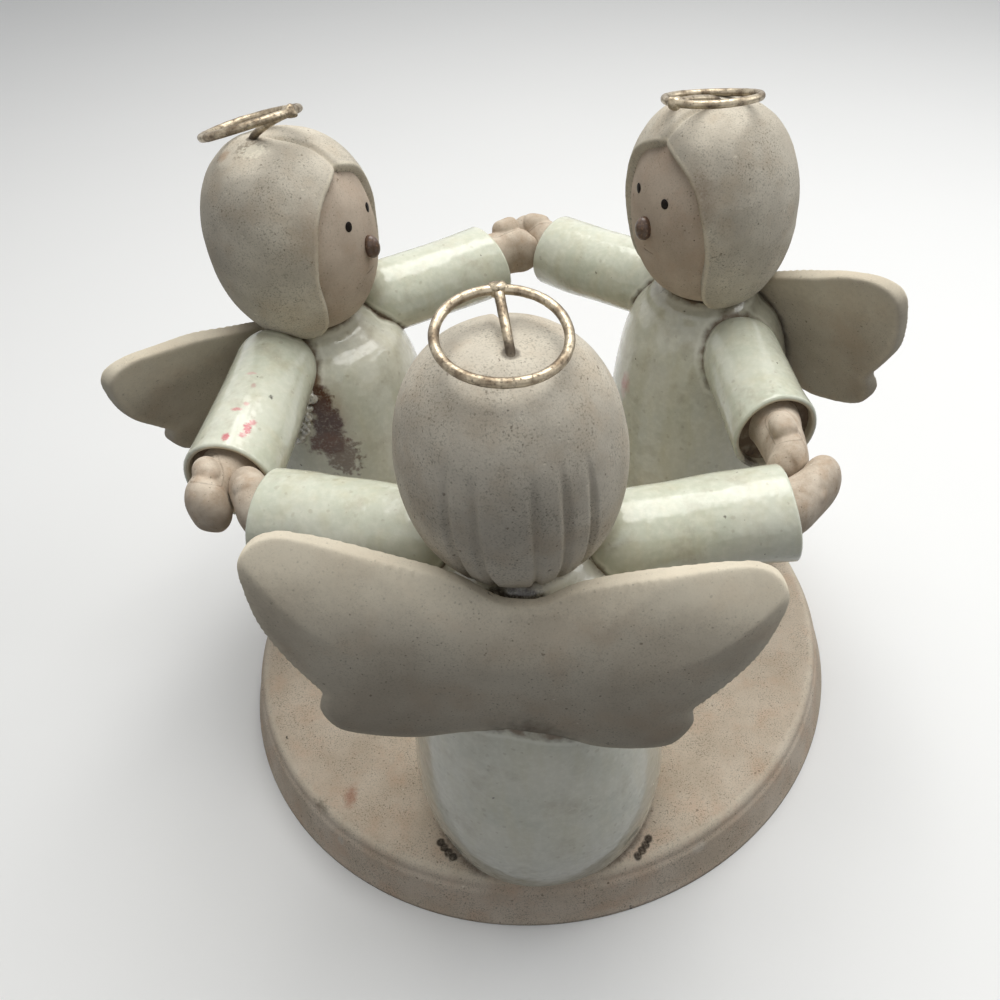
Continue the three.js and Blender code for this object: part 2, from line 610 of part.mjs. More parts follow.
for (const place of HAND_JOINTS) {
  const joint = jointPoint(place);
  const arms = [
    { angel: ANGELS.find(({ side }) => side === place.right), side: 'right', outward: 1 },
    { angel: ANGELS.find(({ side }) => side === place.left), side: 'left', outward: -1 },
  ].map((arm) => ({ ...arm, ends: armEnds(arm.angel, arm.side, joint) }));
  const [outerSpace, innerSpace] = arms.map(({ ends, outward }) => hand(ends, joint, outward, SEAT_GAP));

  for (const { angel, side, outward, ends } of arms) {
    const frame = angelFrame(angel);
    const body = inWorld(dressForm(angel.dressHeight, SEAT_GAP), frame);
    const hairSpace = inWorld(egg(-SEAT_GAP), frame.clone().multiply(headPlace(angel)));
    const arm = sleeve(ends)
      .subtract(body)
      .subtract(hairSpace)
      .subtract(outerSpace)
      .subtract(innerSpace);
    const mitten = hand(ends, joint, outward, 0);
    holder.add(mesh(`${angel.side}_${side}_sleeve`, arm, GLAZE));
    holder.add(mesh(`${angel.side}_${side}_hand`, outward > 0 ? mitten : mitten.subtract(outerSpace), CLAY));
  }
}

export default holder;
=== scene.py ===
"""Angel tealight holder, dressed: three glazed stoneware angels join hands in a ring on a round clay base.

Sizes in the classes are millimetres and degrees in the part's own frame: +Z up, the origin in the middle of
the base's underside, the front angel towards -Y. Meshes are written in metres.
"""

from __future__ import annotations

import json
import logging
import math
from dataclasses import dataclass, field
from enum import Enum
from typing import Callable, ClassVar, Iterable, Sequence

import bmesh
import bpy
import numpy as np
from mathutils import Matrix, Vector
from mathutils.bvhtree import BVHTree
from mathutils.kdtree import KDTree

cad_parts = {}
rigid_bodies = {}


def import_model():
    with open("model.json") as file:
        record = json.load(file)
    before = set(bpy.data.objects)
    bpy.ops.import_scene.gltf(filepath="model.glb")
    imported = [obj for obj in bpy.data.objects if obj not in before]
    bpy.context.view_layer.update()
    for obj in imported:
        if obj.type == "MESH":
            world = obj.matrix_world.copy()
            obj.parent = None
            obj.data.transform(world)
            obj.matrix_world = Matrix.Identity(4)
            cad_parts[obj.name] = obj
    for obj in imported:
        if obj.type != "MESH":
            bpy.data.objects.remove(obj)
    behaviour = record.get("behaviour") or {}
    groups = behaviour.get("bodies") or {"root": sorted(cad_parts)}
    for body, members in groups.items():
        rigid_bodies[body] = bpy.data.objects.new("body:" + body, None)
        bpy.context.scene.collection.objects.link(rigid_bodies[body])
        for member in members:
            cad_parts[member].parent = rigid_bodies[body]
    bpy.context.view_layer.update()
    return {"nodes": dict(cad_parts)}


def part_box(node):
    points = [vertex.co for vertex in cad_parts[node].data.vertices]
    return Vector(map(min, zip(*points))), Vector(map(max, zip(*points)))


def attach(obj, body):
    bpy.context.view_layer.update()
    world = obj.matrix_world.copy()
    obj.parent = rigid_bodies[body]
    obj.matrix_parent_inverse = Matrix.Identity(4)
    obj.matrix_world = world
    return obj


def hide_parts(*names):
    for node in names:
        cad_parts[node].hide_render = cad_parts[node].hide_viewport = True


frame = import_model()

MM = 0.001
FULL_TURN = 2 * math.pi
WAVES = 7
WAVES_REACH = 3.2
SIDES = ("front", "left", "right")
Pair = tuple[float, float]
Triple = tuple[float, float, float]
Colour = tuple[int, int, int]
LOG = logging.getLogger("angel_tealight_holder")


# Small maths


def srgb(red: int, green: int, blue: int) -> tuple[float, float, float, float]:
    """A colour as it is seen, 0 to 255, as the linear colour that the shaders take."""
    return tuple(
        c / 12.92 if c <= 0.04045 else ((c + 0.055) / 1.055) ** 2.4
        for c in (red / 255, green / 255, blue / 255)
    ) + (1.0,)


def smoothstep(low: float, high: float, values: np.ndarray) -> np.ndarray:
    """0 up to low, 1 from high on and a soft S between them, also where high is the smaller one."""
    share = np.clip((values - low) / (high - low), 0, 1)
    return share * share * (3 - 2 * share)


def spline(knots: Sequence[Sequence[float]], at: np.ndarray) -> np.ndarray:
    """Points on the smooth curve through the knots.

    Args:
        knots: The points that the curve passes, of any dimension.
        at: Shares of the curve, with equal shares between neighbouring knots.

    Returns:
        One point for each share.
    """
    given = np.asarray(knots, float)
    last = len(given) - 1
    place = np.clip(np.asarray(at, float), 0, 1) * last
    start = np.minimum(place.astype(int), last - 1)
    t = (place - start)[:, None]
    before, after = given[np.maximum(start - 1, 0)], given[np.minimum(start + 2, last)]
    first, second = given[start], given[start + 1]
    slope, next_slope = (second - before) / 2, (after - first) / 2
    return (
        (2 * first - 2 * second + slope + next_slope) * t**3
        + (-3 * first + 3 * second - 2 * slope - next_slope) * t**2
        + slope * t
        + first
    )


def placed(points: np.ndarray, matrix: Matrix) -> np.ndarray:
    """The points moved by the matrix, in millimetres."""
    m = np.array(matrix)
    return points @ m[:3, :3].T + m[:3, 3]


def rough(points: np.ndarray, period: float, seed: float) -> np.ndarray:
    """A smooth uneven number from about -1 to 1 at each point, from a few crossing waves.

    Args:
        points: Places in millimetres.
        period: Typical distance between two bumps, in millimetres.
        seed: Picks the waves.

    Returns:
        One number for each point.
    """
    maker = np.random.default_rng(int(abs(seed) * 1000) + 7)
    total = np.zeros(len(points))
    for _ in range(WAVES):
        direction = maker.normal(size=3)
        direction /= np.linalg.norm(direction)
        length = period * maker.uniform(0.7, 1.6)
        total += np.sin(points @ direction * (FULL_TURN / length) + maker.uniform(0, 6.28))
    return total / WAVES_REACH


# Node graphs


class Value:
    """A number in a node graph. Arithmetic on it adds Math nodes."""

    def __init__(self, graph: Graph, socket: bpy.types.NodeSocket) -> None:
        """Wraps a socket of the graph."""
        self.graph = graph
        self.socket = socket

    def math(self, operation: str, *others: Value | float) -> Value:
        """The result of a Math node whose first value is this one."""
        return self.graph.calculate(operation, self, *others)

    def largest(self, *others: Value) -> Value:
        """The largest of this and others.

        Args:
            others: The others.

        Returns:
            The largest.
        """
        top = self
        for other in others:
            top = top.math("MAXIMUM", other)
        return top

    def __add__(self, other: Value | float) -> Value:
        """This plus the other."""
        return self.math("ADD", other)

    def __radd__(self, other: float) -> Value:
        """The other plus this."""
        return self.graph.calculate("ADD", other, self)

    def __sub__(self, other: Value | float) -> Value:
        """This less the other."""
        return self.math("SUBTRACT", other)

    def __rsub__(self, other: float) -> Value:
        """The other less this."""
        return self.graph.calculate("SUBTRACT", other, self)

    def __mul__(self, other: Value | float) -> Value:
        """This times the other."""
        return self.math("MULTIPLY", other)

    def __rmul__(self, other: float) -> Value:
        """The other times this."""
        return self.graph.calculate("MULTIPLY", other, self)

    def __truediv__(self, other: Value | float) -> Value:
        """This over the other."""
        return self.math("DIVIDE", other)

    def above(self, threshold: Value | float) -> Value:
        """1 where this is more than the threshold, else 0."""
        return self.math("GREATER_THAN", threshold)

    def smooth(self, low: float, high: float) -> Value:
        """A soft step over this number.

        Args:
            low: Up to where it gives 0.
            high: From where it gives 1.

        Returns:
            The step.
        """
        limits = {"Value": self, "From Min": low, "From Max": high}
        made = self.graph.node("ShaderNodeMapRange", limits, {"interpolation_type": "SMOOTHSTEP"})
        return Value(self.graph, made.outputs[0])


Given = dict[str | int, object]


class Graph:
    """Builds the nodes of one material, world or geometry tree."""

    def __init__(self, tree: bpy.types.NodeTree) -> None:
        """Starts on an emptied tree."""
        self.tree = tree
        tree.nodes.clear()

    def node(
        self, kind: str, inputs: Given | None = None, settings: dict[str, object] | None = None
    ) -> bpy.types.Node:
        """Adds one node.

        Args:
            kind: The node's type.
            inputs: A value, Value or socket for each of its sockets, by name or number.
            settings: What is set on the node itself, before its sockets.

        Returns:
            The new node.
        """
        made = self.tree.nodes.new(kind)
        for name, setting in (settings or {}).items():
            setattr(made, name, setting)
        for name, given in (inputs or {}).items():
            socket = made.inputs[name]
            if isinstance(given, Value):
                self.tree.links.new(given.socket, socket)
            elif isinstance(given, bpy.types.NodeSocket):
                self.tree.links.new(given, socket)
            else:
                socket.default_value = given
        return made

    def calculate(self, operation: str, *values: Value | float) -> Value:
        """The result of a Math node on the values."""
        made = self.node("ShaderNodeMath", dict(enumerate(values)), {"operation": operation})
        return Value(self, made.outputs[0])

    def mix(self, share: Value | float, one: object, other: object) -> bpy.types.NodeSocket:
        """A colour between two colours.

        Args:
            share: 0 for the first colour, 1 for the second.
            one: The first colour.
            other: The second colour.

        Returns:
            The mixed colour's socket.
        """
        made = self.node("ShaderNodeMix", {0: share, 6: one, 7: other}, {"data_type": "RGBA"})
        return made.outputs[2]

    def vector(self, operation: str, *values: object) -> bpy.types.NodeSocket:
        """The vector that a Vector Math node makes of the values."""
        made = self.node("ShaderNodeVectorMath", dict(enumerate(values)), {"operation": operation})
        return made.outputs[0]

    def split(self, vector: object) -> tuple[Value, Value, Value]:
        """The three numbers of a vector."""
        parts = self.node("ShaderNodeSeparateXYZ", {0: vector}).outputs
        return Value(self, parts[0]), Value(self, parts[1]), Value(self, parts[2])

    def join(self, x: Value, y: Value, z: Value) -> bpy.types.NodeSocket:
        """The vector of three numbers."""
        return self.node("ShaderNodeCombineXYZ", {0: x, 1: y, 2: z}).outputs[0]

    def seen(self) -> Value:
        """Where the camera, a reflection or a view through glass sees the surface.

        Returns:
            1 there, else 0.
        """
        rays = self.node("ShaderNodeLightPath").outputs
        names = ("Is Camera Ray", "Is Glossy Ray", "Is Transmission Ray")
        camera, *others = (Value(self, rays[name]) for name in names)
        return camera.largest(*others)


class Surface(Graph):
    """A material's graph, with the patterns that fired clay, glaze and wire need."""

    def __init__(self, name: str) -> None:
        """Starts a new material that reads the piece's own coordinates in metres.

        Args:
            name: Its name.
        """
        self.material = bpy.data.materials.new(name)
        self.material.use_nodes = True
        super().__init__(self.material.node_tree)
        self.place = self.node("ShaderNodeTexCoord").outputs["Object"]

    def noise(
        self,
        size: float,
        detail: float = 3,
        stretch: Triple = (1, 1, 1),
        shift: float = 0,
        rough_share: float = 0.55,
    ) -> Value:
        """Cloudy noise about 0 to 1.

        Args:
            size: Size of its clouds in millimetres.
            detail: How many finer layers it has.
            stretch: Scale along each axis. Below 1 draws the clouds out.
            shift: Moves the pattern, so that two noises differ.
            rough_share: How strong the finer layers are.

        Returns:
            The noise.
        """
        away = (shift, shift * 0.7, -shift)
        moved = self.node("ShaderNodeMapping", {"Vector": self.place, "Location": away, "Scale": stretch})
        look = {"Scale": 1 / (size * MM), "Detail": detail, "Roughness": rough_share}
        made = self.node("ShaderNodeTexNoise", {"Vector": moved.outputs[0], **look})
        return Value(self, made.outputs[0])

    def frayed(self, mask: Value, size: float, shift: float, fray: float = 0.5, detail: float = 3) -> Value:
        """The mask with noise of a size in millimetres laid on it, so that a limit set on it turns ragged."""
        return mask + (self.noise(size, detail, shift=shift) - 0.5) * fray

    def specks(self, spacing: float, size: float, share: float, shift: float = 0) -> Value:
        """Irregular specks strewn over the surface, 1 inside them.

        Args:
            spacing: Typical distance between places for a speck, in millimetres.
            size: Radius of a speck as a share of the spacing.
            share: How many of the places have one.
            shift: Moves the pattern.

        Returns:
            The specks' mask.
        """
        cell = spacing * MM
        warp = self.node("ShaderNodeTexNoise", {"Vector": self.place, "Scale": 2.2 / cell, "Detail": 2.0})
        bent = self.vector("MULTIPLY_ADD", warp.outputs[1], (cell * 0.5,) * 3, self.place)
        moved = self.vector("ADD", bent, (shift, -shift, shift * 0.4))
        cells = self.node("ShaderNodeTexVoronoi", {"Vector": moved, "Scale": 1 / cell})
        lot = self.node("ShaderNodeSeparateColor", {"Color": cells.outputs["Color"]})
        drawn = Value(self, lot.outputs[0]).above(1 - share)
        reach = Value(self, lot.outputs[1]) * (size * 0.8) + size * 0.45
        near = (1 - Value(self, cells.outputs["Distance"]) / reach).smooth(0.0, 0.55)
        return drawn * near

    def attribute(self, name: str) -> Value:
        """A number stored on the piece's points."""
        made = self.node("ShaderNodeAttribute", None, {"attribute_name": name})
        return Value(self, made.outputs["Fac"])

    def spot(self, mark: Mark) -> Value:
        """1 in the middle of a mark, fading raggedly to 0 at its edge.

        Args:
            mark: The mark.

        Returns:
            Its mask, as strong as the mark is.
        """
        offset = self.vector("SUBTRACT", self.place, tuple(c * MM for c in mark.at))
        scaled = self.vector("MULTIPLY", offset, tuple(1 / (r * MM) for r in mark.reach))
        length = self.node("ShaderNodeVectorMath", {0: scaled}, {"operation": "LENGTH"})
        far = Value(self, length.outputs["Value"])
        ragged = self.frayed(far, mark.grain, mark.at[0] * MM, mark.ragged, 4)
        grit = self.noise(0.6, 3, shift=0.37, rough_share=0.7).smooth(0.25, 0.55) * 0.4 + 0.6
        return (1 - ragged).smooth(0.0, mark.soft) * grit * mark.strength

    def layered(self, colour: object, *layers: tuple[Value, float, Colour]) -> object:
        """Lays tints over a colour.

        Args:
            colour: The colour without them.
            layers: The mask, the strength and the tint of each, the lowest first.

        Returns:
            The colour with them.
        """
        for mask, strength, tint in layers:
            colour = self.mix(mask * strength, colour, srgb(*tint))
        return colour

    def marked(self, colour: object, marks: Iterable[Mark]) -> object:
        """Lays marks over a colour.

        Args:
            colour: The colour without them.
            marks: The marks, the lowest first.

        Returns:
            The colour with them.
        """
        for mark in marks:
            colour = self.mix(self.spot(mark), colour, srgb(*mark.colour))
        return colour

    def bump(
        self, height: Value, depth: float, strength: float, under: object | None = None
    ) -> bpy.types.NodeSocket:
        """A normal that is bent by a height pattern.

        Args:
            height: The pattern, 0 to 1.
            depth: How deep it is in millimetres.
            strength: How much of it is used.
            under: A normal that it lies on.

        Returns:
            The bent normal.
        """
        inputs = {"Height": height, "Distance": depth * MM, "Strength": strength}
        if under is not None:
            inputs["Normal"] = under
        return self.node("ShaderNodeBump", inputs).outputs[0]

    def finish(self, constants: dict[str, object], varying: dict[str, object]) -> bpy.types.Material:
        """Adds the shader and the output.

        Args:
            constants: Numbers and colours that are the same all over.
            varying: What changes over the surface.

        Returns:
            The material.
        """
        shader = self.node("ShaderNodeBsdfPrincipled", {**constants, **varying})
        self.node("ShaderNodeOutputMaterial", {"Surface": shader.outputs[0]})
        return self.material


# Finishes


IRON_DUST: Colour = (98, 94, 78)
FINE_IRON: Colour = (88, 80, 64)
RUSTY_IRON: Colour = (84, 68, 52)
COARSE_IRON: Colour = (48, 42, 36)
CHALK: Colour = (232, 224, 204)
CHIP: Colour = (236, 230, 214)
# Pale clay of worn edges, also laid as a painted highlight on the hair's face edge and the wings' upper part
WEAR_AND_HIGHLIGHT_CLAY: Colour = (232, 222, 200)
BUTTER_RUN: Colour = (206, 200, 168)
MILKY_SPOT: Colour = (238, 236, 220)
MILKY_LIP: Colour = (238, 236, 222)
GREY_FILM: Colour = (166, 156, 132)
HAZE: Colour = (150, 138, 110)
GLAZE_DOT: Colour = (110, 98, 76)
GLAZE_IRON: Colour = (74, 62, 48)


@dataclass(frozen=True)
class Mark:
    """One stain, scratch, bare spot or patch of painted shade: its place and reach in millimetres, and its
    colour.
    """

    at: Triple
    reach: Triple
    colour: Colour
    strength: float = 0.8
    soft: float = 0.5
    ragged: float = 0.9
    grain: float = 1.5


@dataclass(frozen=True)
class Clay:
    """Unglazed speckled stoneware, pale on worn edges, with painted shade in creases and where pieces meet.

    It reads three numbers of a piece's points: "rim" where an edge is worn and where a painted highlight
    lightens it, "seam" where painted shade darkens it, and "swell", which bends the normal as if the surface
    stood higher, by swell in millimetres.
    """

    name: str
    pale: Colour
    dark: Colour
    warm: Colour
    crease_shade: Colour
    speck_share: float = 0.35
    cloud: float = 9.0
    tooth: float = 0.5
    marks: tuple[Mark, ...] = ()
    swell: float = 0.0

    def material(self) -> bpy.types.Material:
        """The clay as a material.

        Returns:
            The material.
        """
        s = Surface(self.name)
        clouds = s.noise(self.cloud, 5, shift=0.03).smooth(0.3, 0.72)
        patches = s.noise(self.cloud * 0.7, 4, shift=0.11, rough_share=0.6).smooth(0.44, 0.74)
        cluster = s.noise(5.5, 3, shift=0.27).smooth(0.36, 0.62)
        grain = s.noise(0.42, 3, shift=0.2, rough_share=0.7)
        pepper = s.noise(0.3, 2, shift=0.44, rough_share=0.6).smooth(0.5, 0.66) * (cluster * 0.6 + 0.4)
        fine = s.specks(0.62, 0.28, self.speck_share, 0.01) * (cluster * 0.55 + 0.45)
        body = s.layered(
            s.mix(clouds, srgb(*self.pale), srgb(*self.dark)),
            (patches, 0.42, self.warm),
            (pepper, 0.62 * self.speck_share, IRON_DUST),
            (1 - grain.smooth(0.22, 0.46), 0.2, CHALK),
            (fine, 0.55, FINE_IRON),
            (s.specks(1.6, 0.17, self.speck_share * 0.7, 0.05), 0.55, RUSTY_IRON),
            (s.specks(5.2, 0.07, self.speck_share * 0.5, 0.09), 0.85, COARSE_IRON),
            (s.specks(3.4, 0.1, 0.14, 0.13), 0.5, CHIP),
            # rim: pale worn edges, and a painted highlight on the hair's face edge and over the wings' upper
            # part
            (s.frayed(s.attribute("rim"), 1.1, 0.35).smooth(0.3, 0.95), 0.5, WEAR_AND_HIGHLIGHT_CLAY),
            # seam: painted shade where pieces meet, in grooves and creases; on the face it also draws the
            # mouth's dark line
            (s.frayed(s.attribute("seam"), 1.4, 0.3).smooth(0.45, 1.05), 0.66, self.crease_shade),
        )
        body = s.marked(body, self.marks)
        dust = s.noise(0.16, 2, shift=0.5)
        pits = s.specks(1.1, 0.26, 0.3, 0.17)
        swell = s.bump(s.attribute("swell"), self.swell, 1.0)
        low = s.bump(s.noise(3.2, 3, shift=0.4), 0.22, 0.45 * self.tooth, swell)
        toothy = s.bump(grain * 0.7 + dust * 0.3, 0.11, self.tooth, low)
        normal = s.bump(1 - pits, 0.12, self.tooth * 0.8, toothy)
        roughness = 0.82 + grain * 0.14 - fine * 0.12
        varying = {"Base Color": body, "Roughness": roughness, "Normal": normal}
        return s.finish({"Specular IOR Level": 0.28}, varying)


@dataclass(frozen=True)
class Glaze:
    """Glossy pale celadon and cream glaze that runs thin over edges and pools brown where pieces meet, with
    painted shade there.

    It reads two numbers of a piece's points: "rim" where it runs thin, and "seam" where it pools and painted
    shade darkens it.
    """

    name: str
    cream: Colour
    green: Colour
    pool_and_shade: Colour
    bare: Colour
    marks: tuple[Mark, ...] = ()

    def material(self) -> bpy.types.Material:
        """The glaze as a material.

        Returns:
            The material.
        """
        s = Surface(self.name)
        clouds = s.noise(12, 4, shift=0.02).smooth(0.3, 0.7)
        runs = s.noise(3.6, 4, (1, 1, 0.16), 0.07).smooth(0.42, 0.78)
        mottle = s.noise(1.3, 4, shift=0.21, rough_share=0.62).smooth(0.38, 0.72)
        grime = s.noise(7, 5, shift=0.41, rough_share=0.66).smooth(0.5, 0.78)
        iron = s.specks(3.2, 0.09, 0.22, 0.04)
        seam = s.attribute("seam")
        thin = s.frayed(s.attribute("rim"), 1.1, 0.33).smooth(0.35, 0.95)
        lip = seam.smooth(0.28, 0.46) * (1 - seam.smooth(0.5, 0.66))
        # Brown pooled glaze, with painted shade where pieces meet and inside the cuffs
        wet = s.frayed(seam, 1.7, 0.3, 0.7, 4).smooth(0.52, 1.0)
        coat = s.layered(
            s.mix(clouds, srgb(*self.cream), srgb(*self.green)),
            (runs, 0.4, BUTTER_RUN),
            (mottle, 0.3, MILKY_SPOT),
            (grime, 0.48, GREY_FILM),
            (s.specks(1.5, 0.3, 0.24, 0.12), 0.26, HAZE),
            (s.specks(1.1, 0.16, 0.2, 0.24) * grime, 0.5, GLAZE_DOT),
            (iron, 0.75, GLAZE_IRON),
            (thin, 0.55, self.bare),
            (lip, 0.4, MILKY_LIP),
            (wet, 0.85, self.pool_and_shade),
        )
        coat = s.marked(coat, self.marks)
        waves = s.bump(s.noise(4.6, 2, shift=0.6), 0.5, 0.6)
        ripples = s.bump(s.noise(1.2, 3, shift=0.7), 0.08, 0.5, waves)
        normal = s.bump(1 - iron, 0.06, 0.5, ripples)
        roughness = 0.12 + mottle * 0.08 + thin * 0.3 + grime * 0.14 + wet * 0.35
        gloss = 0.36 - thin * 0.28 - wet * 0.28
        constants = {"Specular IOR Level": 0.4, "Coat Roughness": 0.1, "Coat IOR": 1.5}
        varying = {"Base Color": coat, "Roughness": roughness, "Coat Weight": gloss, "Normal": normal}
        return s.finish(constants, varying)


@dataclass(frozen=True)
class Wire:
    """Antique wire: rubbed bright metal with dull brown tarnish, dirtiest where "worn" says so."""

    name: str
    bright: Colour
    tarnish: Colour
    dirt: Colour

    def material(self) -> bpy.types.Material:
        """The wire as a material.

        Returns:
            The material.
        """
        s = Surface(self.name)
        clouds = s.noise(2.6, 4, shift=0.05).smooth(0.36, 0.66)
        flecks = s.noise(0.5, 3, shift=0.15, rough_share=0.7).smooth(0.5, 0.7)
        worn = s.attribute("worn")
        colour = s.mix(clouds, srgb(*self.bright), srgb(*self.tarnish))
        colour = s.layered(colour, (flecks, 0.55, self.dirt), (worn, 0.6, self.dirt))
        metal = 0.92 - flecks * 0.35 - worn * 0.4
        normal = s.bump(s.noise(0.35, 3, shift=0.25), 0.06, 0.55)
        roughness = 0.3 + clouds * 0.16 + flecks * 0.25 + worn * 0.2
        varying = {"Base Color": colour, "Metallic": metal, "Roughness": roughness, "Normal": normal}
        return s.finish({}, varying)


@dataclass(frozen=True)
class Bead:
    """A small bead, dot of paint or drop of glue, from dull at gloss 0 to glassy at gloss 1."""

    name: str
    body: Colour
    fleck: Colour
    gloss: float

    def material(self) -> bpy.types.Material:
        """The bead as a material.

        Returns:
            The material.
        """
        s = Surface(self.name)
        flecks = s.noise(0.5, 4, shift=0.4).smooth(0.5, 0.72)
        colour = s.mix(flecks, srgb(*self.body), srgb(*self.fleck))
        normal = s.bump(s.noise(0.6, 2, shift=0.1), 0.05, 0.4)
        constants = {"Specular IOR Level": self.gloss, "Coat Roughness": 0.08, "Coat Weight": self.gloss}
        roughness = 0.2 + flecks * 0.2 + (1 - self.gloss) * 0.4
        return s.finish(constants, {"Base Color": colour, "Roughness": roughness, "Normal": normal})


BASE_TOP = 12
# Painted shade: dark spots at the front dress's foot, where small gaps under it show dark
GAP_SHADE_SPOTS = (
    (-20.1, -57.2), (-19.3, -58.3), (-18.4, -59.4), (-17.4, -60.4),
    (21.6, -58.6), (20.9, -59.8), (20.1, -60.9), (19.2, -62.0),
)


class Finish(Enum):
    """Every finish on the holder."""

    BASE = Clay(
        "base clay", (214, 200, 182), (197, 181, 161), (204, 170, 142), (66, 54, 44), 0.8, 10, 0.6, (
            Mark((-39.7, -46.2, BASE_TOP), (2.0, 3.6, 2.0), (160, 104, 78), 0.6, 0.8, 0.9, 1.2),
            Mark((-41.6, -53.4, 7.3), (1.2, 1.2, 1.6), (212, 204, 190), 0.6, 0.6, 0.8, 0.8),
            Mark((-45.7, -47.8, 11), (4.0, 3.0, 1.2), (84, 74, 62), 0.55, 0.9, 1.6, 0.8),
            # Painted shade of the gaps at the front dress's foot
            *(
                Mark((x, y, BASE_TOP), (1.05, 1.1, 1.4), (34, 27, 22), 0.9, 0.4, 0.3, 0.6)
                for x, y in GAP_SHADE_SPOTS
            ),
            Mark((32.1, -59.3, 8.1), (2.2, 2.2, 1.8), (214, 206, 192), 0.5, 0.7, 1.0, 1.0),
        ),
    )
    HAIR = Clay(
        "hair clay", (213, 205, 189), (188, 180, 165), (186, 168, 144), (60, 50, 42), 0.66, 9, 0.55, (
            Mark((33.2, 7.0, 116.0), (5.0, 6.0, 8.5), (134, 106, 80), 0.5, 1.0, 0.9, 2.0),
            Mark((-35.3, 9.2, 111.0), (4.0, 5.0, 9.0), (158, 130, 102), 0.4, 1.0, 0.9, 2.0),
            Mark((-45.4, 18.8, 121.8), (3.6, 3.4, 2.2), (92, 82, 68), 0.6, 0.7, 1.9, 0.7),
            Mark((-44.6, 17.8, 121.8), (3.0, 2.6, 2.0), (226, 220, 202), 0.6, 0.5, 1.9, 0.5),
            Mark((-50.4, 19.0, 120.3), (2.0, 2.0, 2.0), (146, 112, 82), 0.55, 0.8, 1.0, 1.2),
        ),
    )
    FACE = Clay("face clay", (202, 187, 170), (184, 168, 151), (186, 160, 138), (84, 66, 54), 0.34, 7, 0.35)
    HAND = Clay("hand clay", (212, 199, 181), (180, 164, 145), (172, 142, 114), (70, 54, 42), 0.24, 4, 0.35)
    WINGS = Clay(
        "wing clay", (206, 197, 179), (184, 173, 155), (186, 163, 137), (56, 48, 40), 0.36, 14, 0.35, (
            # Painted shade: the dark gap under the front angel's hair, on top of the wings
            Mark((-1.5, -54.9, 84.4), (9.0, 3.0, 1.8), (46, 35, 29), 0.8, 0.5, 0.9, 1.2),
        ),
        6.0,
    )
    DRESS = Glaze(
        "dress glaze", (217, 214, 196), (202, 202, 184), (98, 72, 50), (180, 156, 126), (
            Mark((-39.6, 5.0, 71.0), (6.0, 6.0, 14.0), (160, 136, 108), 0.6, 0.9, 0.8, 3.0),
            Mark((-41.4, 6.6, 81.0), (2.2, 3.0, 5.0), (124, 90, 62), 0.8, 0.7, 1.2, 1.4),
            Mark((-41.0, 5.8, 75.6), (3.0, 3.0, 4.6), (88, 54, 36), 1.0, 0.4, 1.3, 1.9),
            Mark((-40.0, 4.6, 70.4), (3.8, 3.0, 4.4), (78, 46, 30), 1.0, 0.4, 1.3, 1.7),
            Mark((-41.0, 3.8, 66.2), (4.6, 3.0, 3.4), (100, 64, 42), 1.0, 0.4, 1.5, 1.5),
            Mark((-38.2, 4.0, 62.4), (4.0, 4.0, 5.6), (96, 68, 48), 0.8, 0.4, 1.9, 1.2),
            Mark((12.0, -50.0, 83.2), (6.0, 4.0, 3.4), (234, 232, 218), 0.75, 0.4, 1.8, 0.7),
            Mark((5.6, -54.3, 84.3), (3.0, 3.0, 2.0), (226, 220, 200), 0.6, 0.4, 1.8, 0.6),
            Mark((15.4, -48.6, 85.5), (2.4, 3.0, 2.6), (112, 84, 60), 0.8, 0.5, 1.6, 0.7),
            Mark((-12.2, -47.4, 83.6), (3.4, 3.4, 3.0), (228, 226, 210), 0.6, 0.5, 1.6, 0.8),
            # Painted shade: the dark gap under the front angel's hair, on the collar
            Mark((-1.0, -57.0, 83.6), (9.0, 4.6, 4.0), (60, 46, 36), 0.92, 0.4, 0.9, 1.4),
            Mark((21.2, 14.8, 70.5), (2.2, 2.2, 4.6), (200, 118, 116), 0.6, 0.9, 0.9, 1.5),
        ),
    )
    SLEEVE = Glaze(
        "sleeve glaze", (215, 217, 199), (203, 207, 187), (92, 66, 46), (192, 172, 142), (
            Mark((-50.3, -19.4, 87.6), (0.9, 1.2, 1.4), (200, 84, 98), 0.85, 0.5, 0.9, 0.5),
            Mark((-47.3, -16.6, 87.2), (0.8, 2.0, 1.4), (196, 78, 92), 0.9, 0.5, 1.4, 0.5),
            Mark((-46.7, -15.0, 87.1), (0.8, 0.9, 1.2), (208, 110, 120), 0.7, 0.6, 1.2, 0.4),
            Mark((-47.8, -18.4, 87.1), (0.8, 0.8, 1.2), (208, 110, 120), 0.7, 0.6, 1.2, 0.4),
            Mark((-49.8, -12.5, 88.2), (1.2, 0.6, 1.2), (206, 104, 114), 0.7, 0.6, 1.1, 0.4),
            Mark((-48.4, -11.0, 88.3), (0.7, 0.6, 1.2), (216, 146, 146), 0.6, 0.6, 1.0, 0.4),
            Mark((-48.1, -6.2, 88.6), (0.6, 0.9, 1.2), (190, 140, 136), 0.55, 0.6, 1.0, 0.4),
            Mark((-49.1, -2.9, 88.9), (1.3, 0.5, 1.2), (218, 152, 152), 0.5, 0.6, 1.0, 0.4),
            Mark((-45.1, -7.8, 87.0), (0.5, 0.7, 0.8), (62, 54, 44), 0.85, 0.5, 1.0, 0.3),
            Mark((43.0, -15.5, 74.5), (2.6, 2.6, 2.8), (60, 48, 38), 0.85, 0.6, 1.3, 1.0),
        ),
    )
    WIRE = Wire("antique wire", (190, 177, 154), (118, 104, 86), (46, 37, 30))
    GLUE = Bead("clear glue", (196, 192, 180), (92, 82, 72), 0.9)
    NOSE = Bead("nose glaze", (84, 62, 48), (132, 104, 80), 0.45)
    EYE = Bead("eye paint", (26, 20, 18), (44, 36, 30), 0.1)

    def make(self) -> bpy.types.Material:
        """This finish's material, made once."""
        made = bpy.data.materials.get(self.value.name)
        return made if made is not None else self.value.material()


# Meshes


Faces = list[tuple[int, ...]]


